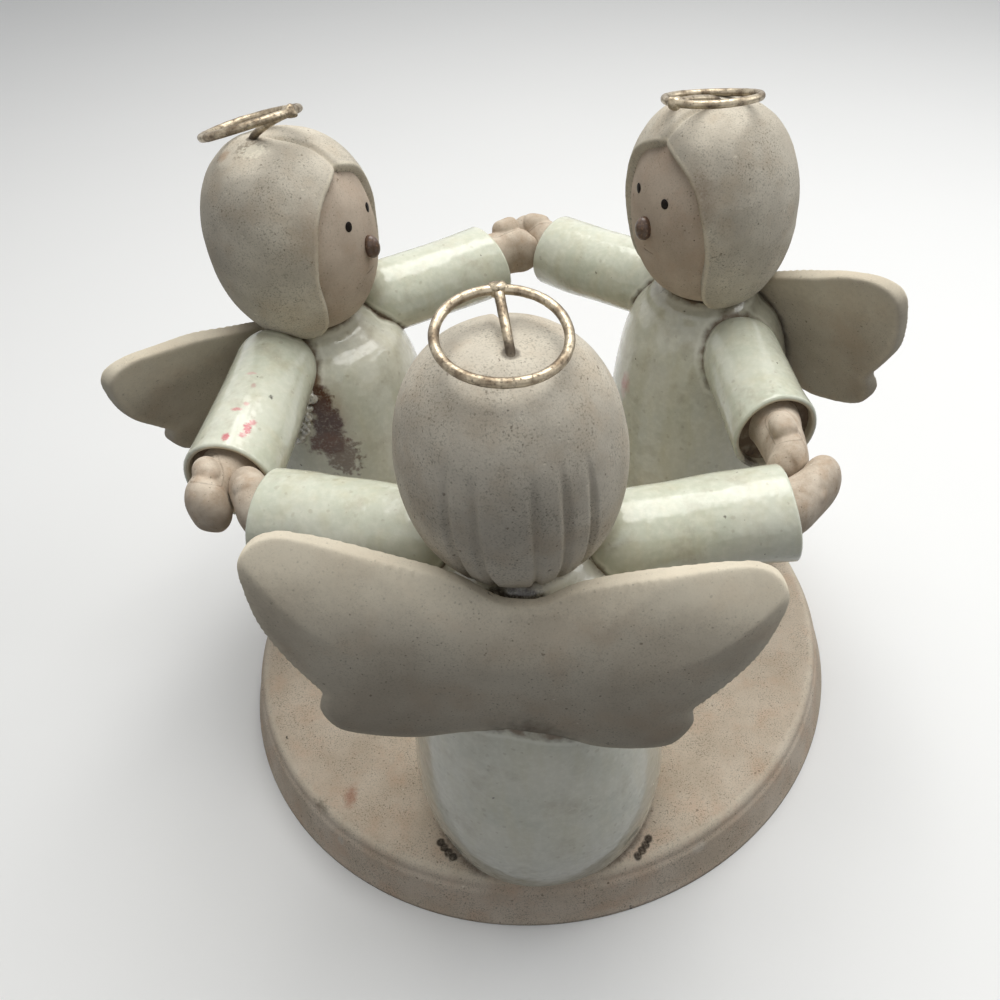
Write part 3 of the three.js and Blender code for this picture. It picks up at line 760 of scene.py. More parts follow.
def write(
    name: str, points: np.ndarray, faces: Sequence[Sequence[int]], edges: Sequence[tuple[int, int]] = ()
) -> bpy.types.Object:
    """A smooth mesh object at the origin.

    Args:
        name: The piece's name.
        points: Its corners in millimetres.
        faces: Corner numbers of each face, turning left seen from outside. None for a drawn line.
        edges: Corner numbers of each edge of a drawn line.

    Returns:
        The new object.
    """
    data = bpy.data.meshes.new(name)
    data.from_pydata((points * MM).tolist(), list(edges), [tuple(int(i) for i in f) for f in faces])
    if len(faces):
        data.shade_smooth()
    made = bpy.data.objects.new(name, data)
    bpy.context.scene.collection.objects.link(made)
    return made


def corners(made: bpy.types.Object) -> np.ndarray:
    """An object's corners.

    Args:
        made: The object.

    Returns:
        Their places in millimetres.
    """
    flat = np.empty(len(made.data.vertices) * 3)
    made.data.vertices.foreach_get("co", flat)
    return flat.reshape(-1, 3) / MM


def reshape(made: bpy.types.Object, points: np.ndarray) -> None:
    """Moves the object's corners to the points, in millimetres."""
    made.data.vertices.foreach_set("co", (points * MM).ravel())
    made.data.update()


def set_numbers(made: bpy.types.Object, name: str, numbers: np.ndarray) -> None:
    """Stores a number on each corner for the materials to read."""
    layer = made.data.attributes.new(name, "FLOAT", "POINT")
    layer.data.foreach_set("value", np.asarray(numbers, np.float32))


def freeze(made: bpy.types.Object) -> bpy.types.Object:
    """Turns what the object's modifiers make into its plain mesh, and removes them.

    Args:
        made: The object.

    Returns:
        The same object.
    """
    bpy.context.view_layer.update()
    graph = bpy.context.evaluated_depsgraph_get()
    plain = bpy.data.meshes.new_from_object(made.evaluated_get(graph), depsgraph=graph)
    made.modifiers.clear()
    made.data = plain
    plain.shade_smooth()
    return made


def rings(sections: np.ndarray) -> tuple[np.ndarray, Faces]:
    """A closed skin over rings of points, with a cap of triangles at both ends.

    Args:
        sections: Points as (ring, place in the ring, xyz). Seen along the path, places turn right.

    Returns:
        The points and the faces.
    """
    count, sides = sections.shape[:2]
    faces = []
    for ring in range(count - 1):
        for i in range(sides):
            a, b = ring * sides + i, ring * sides + (i + 1) % sides
            faces.append((a, b, b + sides, a + sides))
    points = np.concatenate([sections.reshape(-1, 3), sections[[0, -1]].mean(1)])
    start, end = count * sides, count * sides + 1
    last = (count - 1) * sides
    for i in range(sides):
        j = (i + 1) % sides
        faces.append((start, j, i))
        faces.append((end, last + i, last + j))
    return points, faces


def melt(made: bpy.types.Object, grain: float, passes: int) -> bpy.types.Object:
    """Fuses the object's overlapping forms into one soft skin, as wet clay is worked together.

    Args:
        made: The object.
        grain: Size of the new faces in millimetres.
        passes: How often the skin is smoothed.

    Returns:
        The same object with its new mesh.
    """
    remesh = made.modifiers.new("fuse", "REMESH")
    remesh.mode = "VOXEL"
    remesh.voxel_size = grain * MM
    remesh.use_smooth_shade = True
    soften = made.modifiers.new("soften", "SMOOTH")
    soften.factor, soften.iterations = 0.5, passes
    return freeze(made)


def joined(one: tuple[np.ndarray, Faces], other: tuple[np.ndarray, Faces]) -> tuple[np.ndarray, Faces]:
    """Two forms' points and faces as one form's."""
    moved = [tuple(i + len(one[0]) for i in face) for face in other[1]]
    return np.concatenate([one[0], other[0]]), one[1] + moved


def turn_outwards(made: bpy.types.Object) -> None:
    """Makes the faces of a closed mesh point outwards.

    Args:
        made: The object.
    """
    shape = bmesh.new()
    shape.from_mesh(made.data)
    bmesh.ops.recalc_face_normals(shape, faces=shape.faces)
    shape.to_mesh(made.data)
    shape.free()


def distance_to(line: np.ndarray, points: np.ndarray) -> np.ndarray:
    """How far points are from the nearest point of a line.

    Args:
        line: Close points along the line.
        points: The points.

    Returns:
        One distance for each of the points.
    """
    tree = KDTree(len(line))
    for i, place in enumerate(line):
        tree.insert(Vector(place), i)
    tree.balance()
    return np.array([tree.find(Vector(point))[2] for point in points])


class Neighbours:
    """Distances to the fixed part's nodes, for glaze that pools and for painted shade where pieces meet."""

    def __init__(self) -> None:
        """Starts with no search trees."""
        self.trees: dict[str, BVHTree] = {}

    def tree(self, node: str) -> BVHTree:
        """The search tree of one node, made once.

        Args:
            node: The node's name.

        Returns:
            The tree.
        """
        if node not in self.trees:
            data = frame["nodes"][node].data
            points = [v.co.copy() for v in data.vertices]
            self.trees[node] = BVHTree.FromPolygons(points, [tuple(p.vertices) for p in data.polygons])
        return self.trees[node]

    def seam(self, points: np.ndarray, nodes: Iterable[str], reach: float) -> np.ndarray:
        """How near points are to some of the part's nodes.

        Args:
            points: The points, in millimetres.
            nodes: The nodes' names.
            reach: How far a node is felt, in millimetres.

        Returns:
            1 where a point touches one of the nodes, falling to 0 at the reach.
        """
        nearest = np.full(len(points), reach)
        for node in nodes:
            tree = self.tree(node)
            lo, hi = (np.array(c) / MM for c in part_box(node))
            inside = np.all((points > lo - reach) & (points < hi + reach), axis=1)
            for i in np.nonzero(inside)[0]:
                found = tree.find_nearest(Vector(points[i] * MM), reach * MM)
                if found[3] is not None:
                    nearest[i] = min(nearest[i], found[3] / MM)
        return 1 - nearest / reach


NEIGHBOURS = Neighbours()


def dress_up(
    made: bpy.types.Object,
    finish: Finish,
    replaces: str | None,
    touches: Iterable[str] = (),
    reach: float = 3.0,
) -> bpy.types.Object:
    """Gives a piece its finish and its place in the part.

    Args:
        made: The piece.
        finish: Its finish.
        replaces: The node that it stands for, or None for one that the part hasn't.
        touches: Nodes near which painted shade darkens its surface, and glaze pools, unless its "seam" is
            stored already.
        reach: How far from them, in millimetres.

    Returns:
        The piece.
    """
    if "seam" not in made.data.attributes:
        set_numbers(made, "seam", NEIGHBOURS.seam(corners(made), touches, reach))
    made.data.materials.clear()
    made.data.materials.append(finish.make())
    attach(made, "root")
    if replaces:
        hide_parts(replaces)
    triangles = sum(len(p.vertices) - 2 for p in made.data.polygons)
    LOG.info("%s: %d triangles", made.name, triangles)
    return made


# Geometry trees


class FormTree(Graph):
    """A geometry tree with named inputs that takes a drawn line and gives a finished form."""

    def __init__(self, name: str) -> None:
        """Starts the tree with its geometry sockets.

        Args:
            name: Its name.
        """
        tree = bpy.data.node_groups.new(name, "GeometryNodeTree")
        super().__init__(tree)
        tree.interface.new_socket("Line", in_out="INPUT", socket_type="NodeSocketGeometry")
        tree.interface.new_socket("Form", in_out="OUTPUT", socket_type="NodeSocketGeometry")
        self.ids: dict[str, str] = {}
        self.source: bpy.types.Node | None = None

    def named(self, name: str, kind: str, default: float) -> None:
        """Adds a named input.

        Args:
            name: Its name.
            kind: Its socket's type.
            default: Its value where none is given.
        """
        socket = self.tree.interface.new_socket(name, in_out="INPUT", socket_type=kind)
        socket.default_value = default
        self.ids[name] = socket.identifier

    def given(self, name: str) -> bpy.types.NodeSocket:
        """A named input, inside the tree.

        Args:
            name: Its name.

        Returns:
            Its socket.
        """
        if self.source is None:
            self.source = self.node("NodeGroupInput")
        return self.source.outputs[name]

    def close(self, form: bpy.types.NodeSocket, material: bpy.types.Material) -> None:
        """Ends the tree with a real mesh that has its material.

        Args:
            form: The finished form's socket.
            material: Its material.
        """
        real = self.node("GeometryNodeRealizeInstances", {0: form})
        dressed = self.node("GeometryNodeSetMaterial", {"Geometry": real.outputs[0], "Material": material})
        self.node("NodeGroupOutput", {0: dressed.outputs[0]})

    def apply(self, made: bpy.types.Object, sizes: dict[str, float]) -> bpy.types.Object:
        """Runs the tree on an object and keeps the result as its plain mesh.

        Args:
            made: The object that holds the drawn line.
            sizes: A value for each named input.

        Returns:
            The same object.
        """
        modifier = made.modifiers.new(self.tree.name, "NODES")
        modifier.node_group = self.tree
        for name, size in sizes.items():
            modifier[self.ids[name]] = size
        return freeze(made)


class TurnedForm(FormTree):
    """Turns a drawn profile round the upright axis, with the slight unevenness of a thrown piece."""

    def __init__(self, material: bpy.types.Material) -> None:
        """Builds the tree.

        Args:
            material: What the form is made of.
        """
        super().__init__("turned form")
        self.named("Sides", "NodeSocketInt", 96)
        self.named("Steps", "NodeSocketInt", 96)
        self.named("Wobble", "NodeSocketFloat", 0.0)
        self.named("Wobble Size", "NodeSocketFloat", 40.0)
        self.named("Seed", "NodeSocketFloat", 0.0)
        profile = self.node("GeometryNodeMeshToCurve", {"Mesh": self.given("Line")})
        columns = Value(self, self.given("Sides")) + 1
        rows = Value(self, self.given("Steps")) + 1
        grid = self.node("GeometryNodeMeshGrid", {"Vertices X": columns, "Vertices Y": rows})
        over, up, _ = self.split(self.node("GeometryNodeInputPosition").outputs[0])
        turn = (over + 0.5) * FULL_TURN
        drawn = {"Curves": profile.outputs[0], "Factor": up + 0.5}
        sample = self.node("GeometryNodeSampleCurve", drawn, {"mode": "FACTOR"})
        radius, _, level = self.split(sample.outputs["Position"])
        look = {
            "Vector": self.join(turn.math("COSINE"), turn.math("SINE"), level * 12),
            "W": self.given("Seed"),
            "Scale": self.given("Wobble Size"),
            "Detail": 1.0,
        }
        uneven = self.node("ShaderNodeTexNoise", look, {"noise_dimensions": "4D"})
        girth = radius * (1 - Value(self, uneven.outputs[0]) * Value(self, self.given("Wobble")))
        place = self.join(girth * turn.math("COSINE"), girth * turn.math("SINE"), level)
        moved = self.node("GeometryNodeSetPosition", {"Geometry": grid.outputs[0], "Position": place})
        seamless = {"Geometry": moved.outputs[0], "Distance": 0.02 * MM}
        closed = self.node("GeometryNodeMergeByDistance", seamless)
        self.close(closed.outputs[0], material)


class WireForm(FormTree):
    """Runs a round hammered wire along drawn lines, as thick as each point's "girth" says."""

    def __init__(self, material: bpy.types.Material) -> None:
        """Builds the tree.

        Args:
            material: What the wire is made of.
        """
        super().__init__("wire form")
        self.named("Sides", "NodeSocketInt", 14)
        self.named("Hammered", "NodeSocketFloat", 0.0)
        self.named("Seed", "NodeSocketFloat", 0.0)
        line = self.node("GeometryNodeMeshToCurve", {"Mesh": self.given("Line")})
        stored = self.node("GeometryNodeInputNamedAttribute", {"Name": "girth"}, {"data_type": "FLOAT"})
        girth = stored.outputs[0]
        sized = self.node("GeometryNodeSetCurveRadius", {"Curve": line.outputs[0], "Radius": girth})
        section = {"Resolution": self.given("Sides"), "Radius": 1.0}
        circle = self.node("GeometryNodeCurvePrimitiveCircle", section)
        sweep = {"Curve": sized.outputs[0], "Profile Curve": circle.outputs[0], "Fill Caps": True}
        swept = self.node("GeometryNodeCurveToMesh", sweep)
        if "Scale" in swept.inputs:
            self.tree.links.new(girth, swept.inputs["Scale"])
        here = self.node("GeometryNodeInputPosition").outputs[0]
        look = {"Vector": here, "W": self.given("Seed"), "Scale": 700.0, "Detail": 2.0}
        dents = self.node("ShaderNodeTexNoise", look, {"noise_dimensions": "4D"})
        push = (Value(self, dents.outputs[0]) - 0.5) * Value(self, self.given("Hammered"))
        normal = self.node("GeometryNodeInputNormal").outputs[0]
        shift = self.node("ShaderNodeVectorMath", {0: normal, "Scale": push}, {"operation": "SCALE"})
        dented = {"Geometry": swept.outputs[0], "Offset": shift.outputs[0]}
        moved = self.node("GeometryNodeSetPosition", dented)
        self.close(moved.outputs[0], material)


# Pieces


def rounded(
    centre: Pair, radius: float, start: float, end: float, steps: int = 10
) -> list[Pair]:
    """A round corner of a section.

    Args:
        centre: The middle of its arc, as distance from the axis and height.
        radius: The arc's radius.
        start: Where the arc starts, in degrees above the outward direction.
        end: Where it ends.
        steps: How many points it has.

    Returns:
        Its points.
    """
    turns = np.radians(np.linspace(start, end, steps))
    return [(centre[0] + radius * math.cos(a), centre[1] + radius * math.sin(a)) for a in turns]


@dataclass
class Base:
    """The round base: a thrown disc with a sloped side, a soft edge and the tealight's recess."""

    foot_radius: float = 70
    top_radius: float = 66.8
    thickness: float = BASE_TOP
    foot_round: float = 1.3
    edge_round: float = 2.6
    recess_radius: float = 20.2
    recess_depth: float = 2.5
    lip_round: float = 0.8
    bowl_round: float = 0.6
    unevenness: float = 0.12
    worn_width: float = 1.3
    worn: float = 0.7

    def profile(self) -> np.ndarray:
        """The section from the middle of the underside to the middle of the recess.

        Returns:
            Distance from the axis and height of each corner.
        """
        slope = (self.foot_radius - self.top_radius) / self.thickness
        floor = self.thickness - self.recess_depth
        foot = rounded((self.foot_radius, self.foot_round), self.foot_round, 180, 270)
        side = [(self.foot_radius - 0.25 - slope * z, z) for z in np.linspace(2.2, 8.6, 6)]
        shoulder = (self.top_radius - self.edge_round, self.thickness - self.edge_round)
        edge = rounded(shoulder, self.edge_round, 0, 90)
        crest = (self.recess_radius + self.lip_round, self.thickness - self.lip_round)
        lip = rounded(crest, self.lip_round, 90, 180)
        corner = (self.recess_radius - self.bowl_round, floor + self.bowl_round)
        bowl = rounded(corner, self.bowl_round, 0, -90)
        return np.array([(0, 0), *foot, *side, *edge, *lip, *bowl, (0, floor)])

    def build(self) -> bpy.types.Object:
        """Turns the base and puts it in place.

        Returns:
            The base.
        """
        made = turned("stoneware_base", self.profile(), Finish.BASE, 260, 300, 0.004, 1.6, 3.0)
        points = corners(made)
        level = points[:, 2]
        above_table = level > self.thickness / 2
        points[:, 2] -= np.where(above_table, self.unevenness * (1 + rough(points, 30, 2)) / 2, 0)
        points[:, 2] = np.maximum(points[:, 2], 0)
        reshape(made, points)
        from_edge = np.hypot(points[:, 0], points[:, 1]) - self.top_radius + 1.2
        worn = np.exp(-((from_edge / self.worn_width) ** 2)) * (level > self.thickness - 3)
        set_numbers(made, "rim", self.worn * worn)
        # Painted shade on the base round the dresses' feet, stored in "seam"
        touches = [f"{side}_dress" for side in SIDES]
        return dress_up(made, Finish.BASE, "base", touches, 2.4)


def turned(
    name: str,
    profile: np.ndarray,
    finish: Finish,
    sides: int,
    steps: int,
    wobble: float,
    size: float,
    seed: float,
) -> bpy.types.Object:
    """A turned piece from its section.

    Args:
        name: The piece's name.
        profile: Radius and height of each corner of the section.
        finish: The piece's finish.
        sides: Faces round the axis.
        steps: Faces along the section.
        wobble: Unevenness as a share of the radius.
        size: Scale of the unevenness.
        seed: Picks the unevenness.

    Returns:
        The piece, round the upright axis through the origin.
    """
    line = np.column_stack([profile[:, 0], np.zeros(len(profile)), profile[:, 1]])
    made = write(name, line, (), [(i, i + 1) for i in range(len(line) - 1)])
    sizes = {"Sides": sides, "Steps": steps, "Wobble": wobble, "Wobble Size": size, "Seed": seed}
    return TurnedForm(finish.make()).apply(made, sizes)


class Hand(Enum):
    """An angel's two hands, with the side of its body that each is on."""

    RIGHT = 1
    LEFT = -1


@dataclass
class Dress:
    """A hollow bell with a rolled foot and a raised lip of glaze round its collar."""

    height: float
    foot: float = 22.4
    widest: float = 24.1
    chest: float = 19
    shoulder: float = 15.3
    collar: float = 9.5
    wall: float = 4
    foot_round: float = 1.1
    lip_reach: float = 1.3
    lip_close: float = 0.17
    lip_lift: float = 0.5
    unevenness: float = 0.006

    def profile(self) -> np.ndarray:
        """The section from the ceiling inside, round the foot, to the middle of the collar.

        Returns:
            Distance from the axis and height of each corner.
        """
        top = self.height
        knots = [
            (self.foot, 0),
            (self.widest, 0.25 * top),
            (self.chest, 0.74 * top),
            (self.shoulder, 0.93 * top),
            (self.collar, top),
        ]
        outside = spline(knots, np.linspace(0, 1, 90))
        ceiling = top - 2 * self.wall
        inside = outside[outside[:, 1] < ceiling - 2][::-1].copy()
        inside[:, 0] -= self.wall
        inside = inside[inside[:, 1] > 1.2]
        outside = outside[(outside[:, 1] > 1.3) & (outside[:, 0] > self.collar + 2.4)]
        middle = self.foot - self.wall / 2
        half = self.wall / 2 - self.foot_round
        inner = rounded((middle - half, self.foot_round), self.foot_round, 180, 270, 7)
        outer = rounded((middle + half, self.foot_round), self.foot_round, -90, 0, 7)
        roof = [(0, ceiling), (inside[0, 0] - 3, ceiling), (inside[0, 0] - 0.8, ceiling - 0.7)]
        lip = [(1.3, 0.25), (0.5, 0.85), (-0.1, 1.5), (-0.7, 1.6)]
        lip = [(self.collar + out, top + up) for out, up in lip]
        dish = [(6.5, top - 1.2), (0, top - 2.2)]
        return np.array([*roof, *inside, *inner, *outer, *outside, *lip, *dish])

    def build(self, angel: Angel) -> bpy.types.Object:
        """Turns the dress, closes its lip round the neck and stands it on the base.

        Args:
            angel: The angel that wears it.

        Returns:
            The dress.
        """
        seed = 4.0 + angel.azimuth / 50
        made = turned(f"{angel.side}_glazed_dress", self.profile(), Finish.DRESS, 150, 300, 0.02, 1.1, seed)
        points = corners(made)
        points[:, :2] *= (1 + self.unevenness * rough(points, 34, seed))[:, None]
        level = points[:, 2]
        rim = smoothstep(2.2, 0.4, level)
        lip = smoothstep(self.height, self.height + self.lip_reach, level)
        ahead = np.clip(points[:, 1] / np.maximum(np.hypot(points[:, 0], points[:, 1]), 1), 0, 1)
        points[:, :2] *= (1 - self.lip_close * lip * ahead**0.7)[:, None]
        points[:, 2] += self.lip_lift * lip * ahead
        points[:, 1] += angel.head_forward * smoothstep(self.height - 4, self.height + 0.5, level)
        reshape(made, placed(points, angel.frame()))
        set_numbers(made, "rim", rim)
        # Pooled glaze and painted shade where the dress meets the head, hair, sleeves, wings and base
        touches = angel.nodes("head", "hair", "right_sleeve", "left_sleeve", "wings") + ["base"]
        return dress_up(made, Finish.DRESS, f"{angel.side}_dress", touches, 3.4)


@dataclass
class Wings:
    """A pair of wings cut from one thick slab, with soft edges, glued to the dress's back."""

    shift: float
    setback: float
    drop: float
    roll: float
    yaw: float
    lean: float
    sweep: float
    breadth: float = 1
    span: float = 77.2
    thickness: float = 5.3
    dome: float = 2.6
    belly: float = 3.1
    dome_reach: float = 11
    middle_height: float = -2
    half_height: float = 19
    thinned_from: float = 1.3
    flat: float = 12
    bend_round: float = 1.5
    # Height band and strength of the painted highlight that makes the wings paler towards the top
    painted_highlight_band: Pair = (-3, 15)
    tint: float = 0.85
    worn: float = 0.7
    unevenness: Pair = (0.22, 0.18)
    grain: float = 0.5
    soft: int = 14

    def outline(self) -> np.ndarray:
        """The pair's edge on the upright plate.

        Returns:
            Distance to the right and height of each corner.
        """
        corner = (0.74, -10.8)
        upper = [(0, 7.2), (0.09, 7.8), (0.26, 11.4), (0.64, 16), (0.86, 17.6), (0.97, 15.6)]
        tip = [(1, 11), (0.93, 0)]
        lower = [(0.755, -14.6), (0.66, -19.9), (0.42, -22), (0.2, -19.8), (0, -18.4)]
        above = spline([*upper, *tip, corner], np.linspace(0, 1, 80))
        below = spline([corner, *lower], np.linspace(0, 1, 44))
        right = np.concatenate([above, below[1:]])
        right[:, 0] *= self.breadth * self.span / 2
        left = right[1:-1][::-1] * (-1, 1)
        return np.concatenate([right, left])

    def place(self, angel: Angel) -> Matrix:
        """From the upright plate to its place on the angel's back."""
        return (
            angel.frame()
            @ Matrix.Translation((self.shift, -self.setback, angel.dress_height - self.drop))
            @ Matrix.Rotation(math.radians(self.yaw), 4, "Z")
            @ Matrix.Rotation(math.radians(-self.lean), 4, "X")
            @ Matrix.Rotation(math.radians(self.roll), 4, "Y")
        )

    def plate(self, name: str, edge: np.ndarray) -> bpy.types.Object:
        """The upright flat plate with softened edges.

        Args:
            name: The piece's name.
            edge: The pair's edge.

        Returns:
            The plate.
        """
        count = len(edge)
        front = np.column_stack([edge[:, 0], np.full(count, self.thickness / 2), edge[:, 1]])
        back = front * (1, -1, 1)
        faces = [tuple(range(count)), tuple(range(2 * count - 1, count - 1, -1))]
        faces += [(i, i + count, (i + 1) % count + count, (i + 1) % count) for i in range(count)]
        made = write(name, np.concatenate([front, back]), faces)
        turn_outwards(made)
        return melt(made, self.grain, self.soft)

    def build(self, angel: Angel) -> bpy.types.Object:
        """Cuts the pair, thins its back towards the edges, bends it and puts it in place.

        Args:
            angel: The angel that has it.

        Returns:
            The pair.
        """
        edge = self.outline()
        made = self.plate(f"{angel.side}_clay_wings", edge)
        points = corners(made)
        inwards = distance_to(np.insert(edge, 1, 0, axis=1), points * (1, 0, 1))
        # Painted highlight: 0 low on the wings, rising to 1 at the top
        top = smoothstep(*self.painted_highlight_band, points[:, 2])
        from_middle = ((points[:, 2] - self.middle_height) / self.half_height) ** 2
        set_numbers(made, "swell", 1 - from_middle)
        rounding = self.dome * np.clip(1 - inwards / self.dome_reach, 0, 1) ** 2
        fall = np.maximum(rounding, self.belly * from_middle)
        behind = (self.thinned_from - points[:, 1]) / (self.thinned_from + self.thickness / 2)
        points[:, 1] += fall * np.clip(behind, 0, 1)
        across = np.abs(points[:, 0]) - self.flat / 2
        eased = (across + self.bend_round) ** 2 / (4 * self.bend_round)
        bend = np.where(across > self.bend_round, across, np.where(across > -self.bend_round, eased, 0))
        points[:, 1] -= math.tan(math.radians(self.sweep)) * bend
        points[:, 1] += self.unevenness[0] * rough(points, 16, angel.azimuth)
        points[:, 2] += self.unevenness[1] * rough(points, 11, angel.azimuth + 3)
        reshape(made, placed(points, self.place(angel)))
        worn = self.worn * smoothstep(3.5, 0.5, inwards)
        # Pale worn edges, and the painted highlight over the upper part
        set_numbers(made, "rim", np.maximum(worn, self.tint * top))
        # Painted shade where the wings meet the dress, hair and sleeves
        touches = angel.nodes("dress", "hair", "right_sleeve", "left_sleeve")
        return dress_up(made, Finish.WINGS, f"{angel.side}_wings", touches, 3.0)


@dataclass
class HeadForm:
    """The egg that the head and its hair follow. The face looks towards +Y of the head's own frame."""

    radius: float = 16.7
    half_height: float = 19.5
    fullness: float = 0.7
    sink: float = 0.7
    hair_thickness: float = 1.5
    hem_drop: float = 17.2
    peak: float = 15.4
    brow: Pair = (6.6, 12.2)
    temple: Pair = (10.6, 6.8)
    cheek: Pair = (12.4, -3)
    jaw: Pair = (9.4, -15.5)

    def girth(self, share: np.ndarray | float, inset: np.ndarray | float = 0.0) -> np.ndarray | float:
        """The egg's radius at a share of its half height."""
        return (self.radius - inset) * np.maximum(1 - np.square(share), 0) ** (self.fullness / 2)

    def surface(self, turn: np.ndarray, latitude: np.ndarray, inset: np.ndarray | float) -> np.ndarray:
        """Points on the egg.

        Args:
            turn: Angle about the axis from the face, towards the angel's right.
            latitude: Angle above the middle.
            inset: How far inside the hair's surface.

        Returns:
            The points, in the head's own frame.
        """
        girth = self.girth(np.sin(latitude), inset)
        level = (self.half_height - inset) * np.sin(latitude)
        return np.stack([girth * np.sin(turn), girth * np.cos(turn), level], -1)

    def grid(self, columns: int, rows: int) -> tuple[np.ndarray, np.ndarray, Faces]:
        """A closed net over the egg, with one corner at each pole.

        Args:
            columns: Its corners round the axis.
            rows: Its rings of corners between the poles.

        Returns:
            The turn and the latitude of each corner, and the faces.
        """
        turns = np.tile(np.arange(columns) * (FULL_TURN / columns), rows)
        even = np.linspace(-1, 1, rows + 2)[1:-1]
        latitudes = np.repeat(math.pi / 2 * np.sign(even) * (1 - (1 - np.abs(even)) ** 1.25), columns)
        turns = np.concatenate([turns, [0, 0]])
        latitudes = np.concatenate([latitudes, [-math.pi / 2, math.pi / 2]])
        faces = []
        for row in range(rows - 1):
            for i in range(columns):
                a, b = row * columns + i, row * columns + (i + 1) % columns
                faces.append((a, a + columns, b + columns, b))
        low, high = rows * columns, rows * columns + 1
        top = (rows - 1) * columns
        for i in range(columns):
            j = (i + 1) % columns
            faces.append((low, i, j))
            faces.append((high, top + j, top + i))
        return turns, latitudes, faces

    def opening(self) -> np.ndarray:
        """The right half of the face's edge, from the peak to below the chin.

        Returns:
            Distance to the right and height of each corner.
        """
        knots = [(0, self.peak), self.brow, self.temple, self.cheek, self.jaw]
        side = spline(knots, np.linspace(0, 1, 60))
        return np.concatenate([side, [(self.jaw[0], -self.half_height - 3)]])

    def edge_distance(self, points: np.ndarray) -> np.ndarray:
        """How far points lie outside the face's edge.

        Args:
            points: Points on the egg.

        Returns:
            One distance for each of them, below 0 inside the edge.
        """
        right = self.opening()
        outline = np.concatenate([right, right[::-1] * (-1, 1)])
        pairs = zip(outline[:-1], outline[1:])
        dense = np.concatenate([np.linspace(start, end, 8, endpoint=False) for start, end in pairs])
        share = np.clip(dense[:, 1] / self.half_height, -0.999, 0.999)
        ahead = np.sqrt(np.maximum(self.girth(share) ** 2 - dense[:, 0] ** 2, 0))
        far = distance_to(np.column_stack([dense[:, 0], ahead, dense[:, 1]]), points)
        level = np.clip(points[:, 2], outline[:, 1].min(), self.peak - 1e-6)
        half = np.interp(-level, -right[:, 1], right[:, 0])
        inside = (points[:, 1] > 0) & (np.abs(points[:, 0]) < half) & (points[:, 2] < self.peak)
        return np.where(inside, -far, far)


